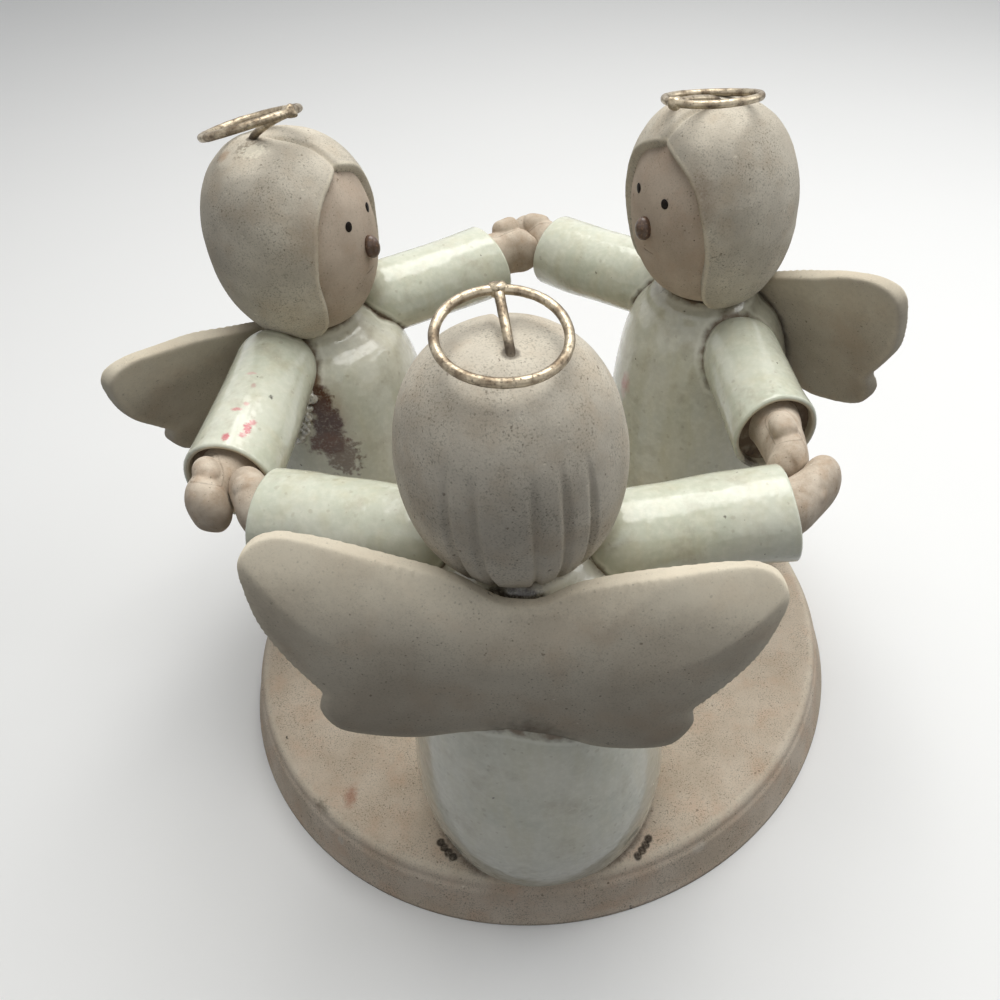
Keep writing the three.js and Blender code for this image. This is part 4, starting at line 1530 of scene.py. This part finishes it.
@dataclass
class Head(HeadForm):
    """The bare head with its pressed mouth, its neck, its painted eyes and its nose bead."""

    eye_turn: float = 15.5
    eye_height: float = 5.6
    eye_half: Triple = (0.8, 0.28, 1.05)
    mouth_height: float = -5.3
    mouth_half_width: float = 1.9
    mouth_depth: float = 0.22
    mouth_droop: float = 0.06
    nose_height: float = -0.2
    nose_half: Triple = (1.5, 1.7, 2.3)
    nose_proud: float = 2.2
    neck_radius: float = 5
    unevenness: float = 0.05

    def build(self, angel: Angel) -> None:
        """Builds the face, the eyes and the nose, and puts them on the angel's neck.

        Args:
            angel: The angel whose head it is.
        """
        self.build_face(angel)
        self.build_eyes(angel)
        self.build_nose(angel)

    def mouth(self, points: np.ndarray) -> np.ndarray:
        """Where the mouth is pressed in.

        Args:
            points: Points on the face.

        Returns:
            1 in the mouth's line, 0 away from it.
        """
        droop = self.mouth_droop * (points[:, 0] / 1.5) ** 2
        line = np.abs(points[:, 2] - self.mouth_height + droop)
        wide = self.mouth_half_width
        width = smoothstep(wide + 0.4, wide - 0.4, np.abs(points[:, 0]))
        return np.where(points[:, 1] > 0, smoothstep(0.5, 0.05, line) * width, 0)

    def neck(self) -> tuple[np.ndarray, Faces]:
        """The short neck that sinks into the collar.

        Returns:
            Its points and faces.
        """
        around = np.linspace(0, FULL_TURN, 40, endpoint=False)
        levels = np.linspace(-self.half_height - 2.5, -self.half_height + 4, 8)
        sections = []
        for k, level in enumerate(levels):
            girth = self.neck_radius + 0.5 * k / 7
            section = [girth * np.cos(around), girth * np.sin(around), 0 * around + level]
            sections.append(np.stack(section, -1))
        return rings(np.array(sections))

    def build_face(self, angel: Angel) -> bpy.types.Object:
        """The egg of clay with its mouth pressed in, and the neck below it.

        Args:
            angel: The angel whose head it is.

        Returns:
            The head.
        """
        turns, latitudes, faces = self.grid(150, 120)
        points = self.surface(turns, latitudes, self.hair_thickness)
        pressed = self.mouth(points)
        points *= (1 - self.mouth_depth * pressed / self.radius)[:, None]
        points += self.unevenness * rough(points, 9, angel.azimuth)[:, None] * np.sign(points)
        whole, faces = joined((points, faces), self.neck())
        made = write(f"{angel.side}_clay_head", placed(whole, angel.head_frame()), faces)
        mouth = np.concatenate([pressed, np.zeros(len(whole) - len(points))])
        # Painted shade where the face meets the hair and dress, with the mouth's dark line, stored in "seam"
        seam = NEIGHBOURS.seam(corners(made), angel.nodes("hair", "dress"), 1.6)
        set_numbers(made, "seam", np.maximum(seam * 0.8, mouth * 0.95))
        return dress_up(made, Finish.FACE, f"{angel.side}_head")

    def bead(
        self, name: str, centre: np.ndarray, half: Triple, angel: Angel
    ) -> bpy.types.Object:
        """A small upright oval bead that faces away from the head's axis.

        Args:
            name: The piece's name.
            centre: Its middle in the head's own frame.
            half: Half its width, depth and height.
            angel: The angel whose head it is on.

        Returns:
            The bead.
        """
        turns = np.linspace(0, FULL_TURN, 28, endpoint=False)
        tilts = np.linspace(-math.pi / 2, math.pi / 2, 16)[1:-1]
        ball = np.array(
            [
                [(math.cos(tilt) * math.cos(a), math.cos(tilt) * math.sin(a), math.sin(tilt)) for a in turns]
                for tilt in tilts
            ]
        )
        points, faces = rings(ball * half)
        yaw = math.atan2(centre[0], centre[1])
        spin = np.array(Matrix.Rotation(-yaw, 3, "Z"))
        return write(name, placed(points @ spin.T + centre, angel.head_frame()), faces)

    def build_eyes(self, angel: Angel) -> None:
        """Two small dark dots on the face.

        Args:
            angel: The angel whose eyes they are.
        """
        inset = self.hair_thickness
        latitude = np.array([math.asin(self.eye_height / (self.half_height - inset))])
        for hand in Hand:
            turn = np.array([math.radians(self.eye_turn) * hand.value])
            centre = self.surface(turn, latitude, inset)[0]
            made = self.bead(f"{angel.side}_{hand.name.lower()}_eye", centre, self.eye_half, angel)
            dress_up(made, Finish.EYE, None)

    def build_nose(self, angel: Angel) -> bpy.types.Object:
        """The nose: an upright oval bead pressed into the face.

        Args:
            angel: The angel whose nose it is.

        Returns:
            The bead.
        """
        inset = self.hair_thickness
        face = float(self.girth(self.nose_height / (self.half_height - inset), inset))
        centre = np.array((0, face + self.nose_proud - self.nose_half[1], self.nose_height))
        made = self.bead(f"{angel.side}_bead_nose", centre, self.nose_half, angel)
        return dress_up(made, Finish.NOSE, f"{angel.side}_nose")


@dataclass
class Hair(HeadForm):
    """A slab of clay wrapped round the head, open at the face, with a parting and strand grooves."""

    parting_half_width: float = 0.85
    parting_depth: float = 0.75
    strands: tuple[float, ...] = (-38, -23, -8, 20, 34)
    strand_half_width: float = 0.8
    strand_depth: float = 0.7
    strand_top: float = 11
    edge_soft: float = 0.75
    edge_round: float = 0.5
    edge_depth: float = 2.3
    edge_drop: float = 0.35
    unevenness: float = 0.1

    def depth(self, points: np.ndarray, outside: np.ndarray, turns: np.ndarray) -> np.ndarray:
        """How far each point sinks below the hair's plain surface.

        Args:
            points: Points on the plain surface.
            outside: Distance outside the face's edge.
            turns: Angle of each point from the face.

        Returns:
            The depth at each point, in millimetres.
        """
        level = points[:, 2]
        hem = level + self.hem_drop + 0.25 * rough(points, 9, 5)
        free = np.minimum(outside, hem)
        corner = np.clip(free / self.edge_soft, 0, 1)
        sink = self.edge_round * (1 - np.sqrt(1 - (1 - corner) ** 2))
        below = self.edge_round + np.clip(-free / self.edge_drop, 0, 1) * self.edge_depth
        sink = np.where(free < 0, below, sink)
        parting = np.exp(-((points[:, 0] / self.parting_half_width) ** 2) * 1.6)
        parting = parting * smoothstep(self.peak - 3.5, self.peak - 0.5, level)
        parting = np.where(points[:, 1] > -1.0, parting, 0) * smoothstep(-2.5, 1.5, points[:, 1])
        sink += self.parting_depth * parting
        for strand in self.strands:
            away = np.angle(np.exp(1j * (turns - math.radians(180 + strand))))
            across = np.abs(away) * np.hypot(points[:, 0], points[:, 1])
            cut = smoothstep(self.strand_half_width * 1.2, 0, across)
            sink += self.strand_depth * cut * smoothstep(self.strand_top, self.strand_top - 9, level)
        return sink

    def build(self, angel: Angel) -> bpy.types.Object:
        """Shapes the slab and puts it on the head.

        Args:
            angel: The angel whose hair it is.

        Returns:
            The hair.
        """
        turns, latitudes, faces = self.grid(310, 230)
        plain = self.surface(turns, latitudes, 0.0)
        outside = self.edge_distance(plain)
        sink = self.depth(plain, outside, turns) - self.unevenness * rough(plain, 7, angel.azimuth)
        points = self.surface(turns, latitudes, np.maximum(sink, 0))
        made = write(f"{angel.side}_clay_hair", placed(points, angel.head_frame()), faces)
        # Painted shade, stored in "seam": where the hair meets the dress and wings, round the halo's hole,
        # and in the sunken grooves and edges
        seam = NEIGHBOURS.seam(corners(made), angel.nodes("dress", "wings"), 2.2)
        foot = angel.halo.foot
        from_wire = np.hypot(plain[:, 0] - foot[0], plain[:, 1] - foot[1]) + np.where(plain[:, 2] > 0, 0, 99)
        wire_hole_shade = smoothstep(2.0, 0.8, from_wire)
        step = 0.85 * smoothstep(0.7, 1.4, sink)
        # Painted highlight: a pale band along the hair's edge round the face
        edge = 0.8 * np.exp(-(((outside - 0.5) / 0.6) ** 2))
        set_numbers(made, "rim", np.where(plain[:, 1] > 0, edge, 0))
        set_numbers(made, "seam", np.clip(np.max([seam, wire_hole_shade, step], axis=0), 0, 1))
        return dress_up(made, Finish.HAIR, f"{angel.side}_hair")


@dataclass
class Halo:
    """A wire ring on a bent stem that is stuck into the crown."""

    radius: float
    across: float
    forward: float
    rise: float
    tilt_back: float
    tilt_side: float
    foot: Pair = (0, 0)
    wire: float = 0.7
    knob: float = 1.15
    seat: float = 3.0
    wobble: float = 0.12
    hammered: float = 0.12

    def plane(self, half_height: float) -> Matrix:
        """From the ring's own plane to the head's frame."""
        return (
            Matrix.Translation((self.across, self.forward, half_height + self.rise))
            @ Matrix.Rotation(math.radians(self.tilt_back), 4, "X")
            @ Matrix.Rotation(math.radians(self.tilt_side), 4, "Y")
        )

    def build(self, angel: Angel) -> bpy.types.Object:
        """Bends the wire and puts it on the head.

        Args:
            angel: The angel that wears it.

        Returns:
            The halo.
        """
        form = HeadForm()
        plane = self.plane(form.half_height)
        turns = np.linspace(0, FULL_TURN, 120, endpoint=False)
        ring = np.column_stack([self.radius * np.cos(turns), self.radius * np.sin(turns), 0 * turns])
        ring += self.wobble * np.column_stack([np.cos(2 * turns + 1), np.sin(3 * turns), np.sin(2 * turns)])
        ring = placed(ring, plane)
        outwards = (math.hypot(*self.foot) / form.radius) ** (2 / form.fullness)
        crown = form.half_height * math.sqrt(1 - outwards)
        foot = np.array((*self.foot, crown))
        start = placed(np.array([[0, self.radius, 0]]), plane)[0]
        knots = [start, (start + foot) / 2 + (0, 0, 0.5), foot, foot - (0, self.seat / 4, self.seat)]
        stem = spline(knots, np.linspace(0, 1, 60))
        count = len(ring)
        edges = [(i, (i + 1) % count) for i in range(count)]
        edges += [(count + i, count + i + 1) for i in range(len(stem) - 1)]
        line = placed(np.concatenate([ring, stem]), angel.head_frame())
        made = write(f"{angel.side}_wire_halo", line, (), edges)
        taper = np.linspace(1.05, 0.82, len(stem))
        set_numbers(made, "girth", np.concatenate([np.full(count, self.wire), self.wire * taper]) * MM)
        sizes = {"Sides": 14, "Hammered": self.hammered * MM, "Seed": angel.azimuth}
        WireForm(Finish.WIRE.make()).apply(made, sizes)
        top, stuck = placed(np.array([start, foot]), angel.head_frame())
        self.add_knob(made, top)
        from_crown = np.linalg.norm(corners(made) - stuck, axis=1)
        set_numbers(made, "worn", smoothstep(3.0, 0.6, from_crown))
        return dress_up(made, Finish.WIRE, f"{angel.side}_halo")

    def add_knob(self, made: bpy.types.Object, centre: np.ndarray) -> None:
        """Adds the rough bead of solder that joins the ring's ends and the stem.

        Args:
            made: The wire.
            centre: The bead's middle.
        """
        shape = bmesh.new()
        shape.from_mesh(made.data)
        bead = bmesh.ops.create_icosphere(shape, subdivisions=4, radius=self.knob * MM)
        for corner in bead["verts"]:
            local = np.array(corner.co) / MM
            swell = 1 + 0.13 * rough(local[None] + centre, 1.5, 3)[0]
            corner.co = Vector((local * swell * (1.1, 1.0, 0.95) + centre) * MM)
        for face in shape.faces:
            face.smooth = True
        shape.to_mesh(made.data)
        shape.free()


Station = tuple[float, float, float, float]


@dataclass
class Arm:
    """One sleeve with its mitten hand, from the shoulder to the joined hands."""

    angel: Angel
    hand: Hand
    joint: Joint
    outward: int
    shoulder_side: float = 9.5
    arm_height: float = 83
    shoulder_radius: float = 7.6
    shoulder_dome: float = 0.2
    cuff_radius: float = 8.2
    bow: float = 0.5
    slant: float = 0.15
    cuff_depth: float = 2.0
    cuff_wall: float = 1.1
    hand_height: float = 10.4
    hand_thickness: float = 6.6
    overlap: float = 5
    droop: float = 0.6
    wrist_rise: float = 0.9
    wrist_seat: float = 1.5
    thumb_radius: float = 2.3
    thumb_length: float = 5.8
    thumb_share: float = 0.48
    # Strength of the painted shade in the crease round the thumb
    crease_shade: float = 0.75
    sleeve_unevenness: float = 0.1
    hand_unevenness: float = 0.06
    grain: float = 0.2
    outer_thumb: Pair = (1.5, 2)
    inner_thumb: Pair = (0.4, 3.5)
    seen_thumbs: ClassVar[dict[str, Triple]] = {
        "left_right": (-53.1, -24.6, 85.3),
        "right_left": (46.4, -19.4, 86.3),
        "left_left": (-4.6, 52.8, 87.3),
        "right_right": (4, 57, 86.2),
    }
    palm_form: ClassVar[tuple[Station, ...]] = (
        (0, 1.6, 1.02, 0), (0.15, 1.56, 1, 0), (0.3, 1.4, 0.98, 0), (0.5, 1.16, 1, 0), (0.65, 1.07, 1.01, 0),
        (0.8, 1.05, 1, 0), (0.9, 0.98, 0.92, 0), (0.96, 0.9, 0.84, 0), (1, 0.78, 0.74, 0.4),
        (1, 0.6, 0.58, 1.1), (1, 0.36, 0.36, 1.6), (1, 0.12, 0.12, 1.8),
    )
    thumb_form: ClassVar[tuple[Station, ...]] = (
        (0, 0.4, 0.4, 0), (0.2, 0.9, 0.9, 0), (0.7, 1, 1, 0), (1, 0.78, 0.78, 0), (1, 0.3, 0.3, 0.8),
    )
    along_sleeve: ClassVar[int] = 60
    round_cuff: ClassVar[int] = 15
    inside_cuff: ClassVar[int] = 8
    sides: ClassVar[int] = 72

    @property
    def name(self) -> str:
        """The angel's side and the hand, as the part's nodes are named."""
        return f"{self.angel.side}_{self.hand.name.lower()}"

    def ends(self) -> tuple[np.ndarray, np.ndarray]:
        """Where the arm starts in the shoulder, and the middle of its cuff.

        Returns:
            The two points.
        """
        start, (across, forward, drop) = self.angel.arms[self.hand]
        local = [(self.hand.value * self.shoulder_side, start, 0), (self.hand.value * across, forward, 0)]
        shoulder, cuff = placed(np.array(local), self.angel.frame())
        shoulder[2] = self.arm_height
        cuff[2] = self.joint.height - drop
        return shoulder, cuff

    @staticmethod
    def limb(
        curve: Callable[[float], np.ndarray], stations: Iterable[Station], sides: int, slant: float = 0.0
    ) -> np.ndarray:
        """Oval sections along a curve.

        Args:
            curve: Gives a point for a share of the curve.
            stations: Share, half width, half height and distance past the share, for each section.
            sides: Points round each section.
            slant: How much shorter the top is, as a share of the height.

        Returns:
            The sections, for rings().
        """
        made = []
        turns = np.linspace(0, FULL_TURN, sides, endpoint=False)
        for place, wide, high, past in stations:
            share = min(max(place, 0.0), 1.0)
            ahead = curve(min(share + 0.002, 1)) - curve(max(share - 0.002, 0))
            ahead /= np.linalg.norm(ahead)
            side = np.cross(ahead, (0, 0, 1.0))
            side /= np.linalg.norm(side)
            rise = np.cross(side, ahead)
            lift = high * np.sin(turns)[:, None]
            shift = past - lift * slant * share
            made.append(curve(share) + wide * np.cos(turns)[:, None] * side + lift * rise + shift * ahead)
        return np.array(made)

    def radius(self, share: float) -> float:
        """The sleeve's half width, from the domed shoulder to the cuff.

        Args:
            share: Share of the sleeve's axis.

        Returns:
            Half the width in millimetres.
        """
        dome = self.shoulder_dome
        cap = max(1 - ((dome - share) / (dome + 0.015)) ** 2, 0) ** 0.42 if share < dome else 1
        return cap * (self.shoulder_radius + (self.cuff_radius - self.shoulder_radius) * share)

    def sleeve_stations(self) -> list[Station]:
        """The sleeve's sections: the tube, round the cuff's wall, back inside it and across its floor.

        Returns:
            The stations for limb().
        """
        stations = [(t, self.radius(t), self.radius(t), 0.0) for t in np.linspace(0, 0.94, self.along_sleeve)]
        outer, wall = self.radius(1.0), self.cuff_wall / 2
        for turn in np.radians(np.linspace(-10, 190, self.round_cuff)):
            girth = outer - wall + wall * math.cos(turn)
            stations.append((1.0, girth, girth, wall * math.sin(turn) - wall))
        inner = outer - self.cuff_wall
        for back in np.linspace(-wall - 0.4, -self.cuff_depth, self.inside_cuff):
            stations.append((1.0, inner, inner, back))
        for share in (0.9, 0.6, 0.25):
            stations.append((1.0, inner * share, inner * share, -self.cuff_depth - 0.15 * (1 - share)))
        return stations

    def sleeve(self) -> bpy.types.Object:
        """The glazed sleeve with its slanted, hollowed cuff.

        Returns:
            The sleeve.
        """
        shoulder, cuff = self.ends()
        middle = (shoulder + cuff) / 2
        inwards = -middle * (1, 1, 0) / np.linalg.norm(middle[:2])
        control = middle + inwards * 2 * self.bow

        def axis(share: float) -> np.ndarray:
            """A point of the sleeve's axis."""
            return shoulder * (1 - share) ** 2 + control * 2 * share * (1 - share) + cuff * share**2

        stations = self.sleeve_stations()
        points, faces = rings(self.limb(axis, stations, self.sides, self.slant))
        seed = self.angel.azimuth + self.hand.value
        points += self.sleeve_unevenness * rough(points, 12, seed)[:, None]
        made = write(f"{self.name}_glazed_sleeve", points, faces)
        turn_outwards(made)
        ring = np.repeat(np.arange(len(stations)), self.sides)
        crest = self.along_sleeve + 9
        mouth = self.along_sleeve + self.round_cuff + 1
        floor = mouth + self.inside_cuff - 4
        thin = np.maximum(np.exp(-(((ring - crest) / 4.0) ** 2)), 0.9 * (ring > crest + 1))
        set_numbers(made, "rim", np.concatenate([thin, [0, 0]]))
        # Painted shade inside the cuff, darkest on its floor, next to pooled glaze and painted shade where
        # the sleeve meets the dress and hair
        deep = np.where(ring > floor, 0.95, np.where(ring > mouth, 0.6, 0.0))
        touch = NEIGHBOURS.seam(corners(made), self.angel.nodes("dress", "hair"), 2.6)
        set_numbers(made, "seam", np.maximum(touch, np.concatenate([deep, [0, 1]])))
        return dress_up(made, Finish.SLEEVE, f"{self.name}_sleeve")

    def sized(self, stations: Sequence[Station], steps: int, wide: float, high: float) -> list[Station]:
        """Smooth sections through drawn ones.

        Args:
            stations: The drawn sections, with half widths and half heights as shares.
            steps: How many sections are made.
            wide: The half width that is 1.
            high: The half height that is 1.

        Returns:
            The stations for limb().
        """
        dense = spline(stations, np.linspace(0, 1, steps))
        return [tuple(row) for row in dense * (1, wide, high, 1)]

    def mitten(self) -> bpy.types.Object:
        """The hand: an upright mitten with an oval thumb on top, worked together.

        Returns:
            The hand.
        """
        shoulder, cuff = self.ends()
        joint = self.joint.point()
        radial = joint * (1, 1, 0) / np.linalg.norm(joint[:2])
        line = (cuff - shoulder) * (1, 1, 0)
        line /= np.linalg.norm(line)
        along = (joint - cuff) / np.linalg.norm(joint - cuff)
        tangent = along - radial * (along @ radial)
        tangent /= np.linalg.norm(tangent)
        grip = joint + radial * (self.outward * self.hand_thickness / 2)
        wrist = cuff + (0, 0, self.wrist_rise)
        knots = np.array(
            [
                wrist - line * (self.cuff_depth + self.wrist_seat),
                wrist + line * 0.5,
                grip - tangent * self.overlap * 0.5,
                grip + tangent * (self.overlap - self.hand_thickness / 2) - (0, 0, self.droop),
            ]
        )
        palm = self.sized(self.palm_form, 44, self.hand_thickness / 2, self.hand_height / 2)
        body = rings(self.limb(lambda t: spline(knots, np.array([t]))[0], palm, 40))
        is_placed = self.name in self.seen_thumbs
        aside, above = self.outer_thumb if self.outward > 0 else self.inner_thumb
        if is_placed:
            knuckle = np.array(self.seen_thumbs[self.name])
        else:
            knuckle = spline(knots, np.array([self.thumb_share]))[0]
            knuckle += radial * self.outward * aside + (0, 0, above)
        tip = knuckle + along * (self.thumb_length - self.thumb_radius) - (0, 0, self.droop)
        root = knuckle - along * self.thumb_radius
        reach = tip - root
        bead = self.sized(self.thumb_form, 22, self.thumb_radius, self.thumb_radius)
        thumb = rings(self.limb(lambda t: root + reach * t, bead, 28))
        made = write(f"{self.name}_clay_hand", *joined(body, thumb))
        turn_outwards(made)
        melt(made, self.grain, 2)
        points = corners(made)
        down = np.clip((points - root) @ reach / (reach @ reach), 0, 1)
        gap = np.linalg.norm(points - root - down[:, None] * reach, axis=1) - self.thumb_radius
        # Painted shade in the crease round the thumb
        crease_shade = smoothstep(0.0, 0.2, gap) * smoothstep(0.75, 0.3, gap) * is_placed
        reshape(made, points + self.hand_unevenness * rough(points, 4, self.angel.azimuth)[:, None])
        # Painted shade where the hand meets its sleeve and the hand it holds
        contact_shade = NEIGHBOURS.seam(corners(made), [f"{self.name}_sleeve", self.joint.partner(self)], 1.4)
        set_numbers(made, "seam", np.maximum(contact_shade, self.crease_shade * crease_shade))
        return dress_up(made, Finish.HAND, f"{self.name}_hand")


@dataclass
class SetGlue:
    """The bubbly clear glue that squeezed out under the left angel's sleeve and set hard."""

    path: tuple[Triple, ...] = (
        (-42.6, 5.4, 77.4), (-43.4, 4.9, 73.4), (-44.8, 4.3, 70.4), (-46.6, 4.2, 67.2),
    )
    places: int = 9
    bubbles: int = 3
    spread: float = 0.7
    bubble_radius: Pair = (0.5, 1.0)
    grain: float = 0.16
    seed: int = 7

    def build(self) -> bpy.types.Object:
        """Strings bubbles along the path and fuses them.

        Returns:
            The glue.
        """
        shape = bmesh.new()
        random = np.random.default_rng(self.seed)
        for point in spline(self.path, np.linspace(0, 1, self.places)):
            for _ in range(self.bubbles):
                at = point + random.uniform(-self.spread, self.spread, 3)
                place = Matrix.Translation(Vector(at * MM))
                size = random.uniform(*self.bubble_radius) * MM
                bmesh.ops.create_icosphere(shape, subdivisions=3, radius=size, matrix=place)
        made = write("left_armpit_glue", np.zeros((0, 3)), ())
        shape.to_mesh(made.data)
        shape.free()
        melt(made, self.grain, 1)
        return dress_up(made, Finish.GLUE, None)


@dataclass
class Joint:
    """Where two neighbours join hands: the right hand of one outside, the left hand of the other inside."""

    right: str
    left: str
    azimuth: float
    radius: float
    height: float = 82.5

    def point(self) -> np.ndarray:
        """The joint's middle."""
        turn = math.radians(self.azimuth)
        return np.array([self.radius * math.cos(turn), self.radius * math.sin(turn), self.height])

    def partner(self, arm: Arm) -> str:
        """The node of the hand that this arm's hand holds."""
        return f"{self.left}_left_hand" if arm.hand is Hand.RIGHT else f"{self.right}_right_hand"


@dataclass
class Angel:
    """One angel: its place in the ring and its own small differences."""

    side: str
    azimuth: float
    ring_radius: float
    dress_height: float
    head_yaw: float
    head_forward: float
    wings: Wings
    halo: Halo
    arms: dict[Hand, tuple[float, Triple]] = field(default_factory=dict)
    floor: float = 12.3

    def nodes(self, *names: str) -> list[str]:
        """The part's nodes for pieces of this angel."""
        return [f"{self.side}_{name}" for name in names]

    def frame(self) -> Matrix:
        """From the angel's own frame, facing +Y, to the part's.

        Returns:
            The matrix.
        """
        turn = math.radians(self.azimuth)
        place = (self.ring_radius * math.cos(turn), self.ring_radius * math.sin(turn), self.floor)
        return Matrix.Translation(place) @ Matrix.Rotation(turn + math.pi / 2, 4, "Z")

    def head_frame(self) -> Matrix:
        """From the head's own frame to the part's.

        Returns:
            The matrix.
        """
        rise = HeadForm().half_height - HeadForm().sink
        place = Matrix.Translation((0, self.head_forward, self.dress_height + rise))
        return self.frame() @ place @ Matrix.Rotation(math.radians(self.head_yaw), 4, "Z")

    def build(self) -> None:
        """Builds the angel without its arms."""
        Dress(self.dress_height).build(self)
        self.wings.build(self)
        Head().build(self)
        Hair().build(self)
        self.halo.build(self)


def angels() -> list[Angel]:
    """The three angels as they were set by hand."""
    right, left = Hand.RIGHT, Hand.LEFT
    return [
        Angel(
            "front", -89, 45.8, 72.3, 3, 1.2, Wings(-1.1, 16, 2.8, 7.1, -1.4, 9, 3, 0.975),
            Halo(8.45, 0.1, -2.4, 2.4, 10, 4, (1, -3)),
            {right: (1.8, (43.9, 7.9, 0.6)), left: (3.4, (42.4, 13.8, 0.9))},
        ),
        Angel(
            "left", 151.7, 46.6, 71.8, 10.5, -1.5, Wings(-1, 14.2, 7.6, 6, 0, 22, 17),
            Halo(8.6, 3.9, -0.7, 4, 16.9, -8.7, (1.4, -3)),
            {right: (-3, (43.6, 11.6, 2.9)), left: (1.9, (39.2, 16.5, 0.9))},
        ),
        Angel(
            "right", 29.5, 44, 76.4, 2, 0.8, Wings(1.2, 14, 7.2, 4.4, 1, 20, 15),
            Halo(8.2, -3.2, 4.2, 2.5, 6.3, 13.2),
            {right: (-1.5, (42.4, 11.6, 0.9)), left: (-0.3, (35.8, 10, 2.9))},
        ),
    ]


def joints() -> list[Joint]:
    """The three places where hands are joined."""
    return [
        Joint("front", "right", -30.1, 56.4),
        Joint("right", "left", 90, 54.8),
        Joint("left", "front", 210.7, 56.6),
    ]


# Studio


@dataclass(frozen=True)
class Lamp:
    """A square soft lamp that shines at the angels, in millimetres and watts."""

    name: str
    place: Triple
    size: float
    power: float
    colour: Triple
    aim: Triple = (0, 0, 55)

    def build(self) -> None:
        """Hangs the lamp."""
        data = bpy.data.lights.new(self.name, "AREA")
        data.size = self.size * MM
        data.energy = self.power
        data.color = self.colour
        made = bpy.data.objects.new(self.name, data)
        bpy.context.scene.collection.objects.link(made)
        at = Vector(self.place) * MM
        matrix = (at - Vector(self.aim) * MM).to_track_quat("Z", "Y").to_matrix().to_4x4()
        matrix.translation = at
        made.matrix_world = matrix


@dataclass
class Studio:
    """The pale floor, the soft lamps and the camera. Its focal length is in pixels of a frame of 1000."""

    focal: float = 930
    azimuth: float = -2.24
    elevation: float = 44.03
    distance: float = 188.34
    target: Triple = (14.39, -9.85, 60)
    roll: float = -0.70
    shift: float = -0.099
    floor_half: float = 3000.0
    world_light: float = 0.26
    lamps: tuple[Lamp, ...] = (
        Lamp("sky panel", (45, 140, 620), 480, 3.5, (1.0, 0.99, 0.965)),
        Lamp("window panel", (480, 90, 380), 300, 0.75, (0.98, 0.99, 1.0)),
        Lamp("front fill", (-240, -480, 380), 420, 0.15, (1.0, 0.99, 0.98)),
    )

    def build(self) -> None:
        """Sets up everything that isn't part of the object."""
        self.build_camera()
        self.build_floor()
        self.build_world()
        for lamp in self.lamps:
            lamp.build()
        bpy.context.scene.view_settings.view_transform = "Standard"

    def build_camera(self) -> None:
        """The camera that took the photograph."""
        turn, rise = math.radians(self.azimuth), math.radians(self.elevation)
        back = Vector((math.sin(turn) * math.cos(rise), -math.cos(turn) * math.cos(rise), math.sin(rise)))
        right = Vector((0, 0, 1)).cross(back).normalized()
        up = back.cross(right)
        tilt = math.radians(self.roll)
        across = right * math.cos(tilt) + up * math.sin(tilt)
        upward = up * math.cos(tilt) - right * math.sin(tilt)
        data = bpy.data.cameras.new("camera")
        data.sensor_width = 36
        data.lens = 36 * self.focal / 1000
        data.shift_x = self.shift
        data.clip_start, data.clip_end = 0.01, 20
        camera = bpy.data.objects.new("camera", data)
        bpy.context.scene.collection.objects.link(camera)
        place = (Vector(self.target) + back * self.distance) * MM
        matrix = Matrix((across, upward, back)).transposed().to_4x4()
        matrix.translation = place
        camera.matrix_world = matrix
        bpy.context.scene.camera = camera

    def build_floor(self) -> None:
        """A pale floor that stays white to the camera and keeps the object's shadow."""
        half = self.floor_half
        points = np.array([(-half, -half, 0), (half, -half, 0), (half, half, 0), (-half, half, 0)])
        floor = write("floor", points, [(0, 1, 2, 3)])
        s = Surface("pale floor")
        white = s.mix(s.noise(60, 3) * 0.5, srgb(240, 240, 239), srgb(236, 236, 235))
        tone = s.mix(s.seen(), srgb(104, 105, 108), white)
        paper = s.finish({"Roughness": 0.9, "Specular IOR Level": 0.1}, {"Base Color": tone})
        floor.data.materials.append(paper)

    def build_world(self) -> None:
        """Soft light from all round, white where the camera or a reflection sees it."""
        world = bpy.data.worlds.new("soft room")
        world.use_nodes = True
        bpy.context.scene.world = world
        g = Graph(world.node_tree)
        room = g.node("ShaderNodeBackground", {"Color": (0.93, 0.96, 1.0, 1), "Strength": self.world_light})
        white = g.node("ShaderNodeBackground", {"Color": (1, 1, 1, 1), "Strength": 1.0})
        both = g.node("ShaderNodeMixShader", {0: g.seen(), 1: room.outputs[0], 2: white.outputs[0]})
        g.node("ShaderNodeOutputWorld", {"Surface": both.outputs[0]})


def main() -> None:
    """Builds the holder and its studio."""
    logging.basicConfig(level=logging.INFO, format="%(message)s")
    Studio().build()
    Base().build()
    ring = angels()
    for angel in ring:
        angel.build()
    by_side = {angel.side: angel for angel in ring}
    for joint in joints():
        for arm in (
            Arm(by_side[joint.right], Hand.RIGHT, joint, 1),
            Arm(by_side[joint.left], Hand.LEFT, joint, -1),
        ):
            arm.sleeve()
            arm.mitten()
    SetGlue().build()


if __name__ == "__main__":
    main()
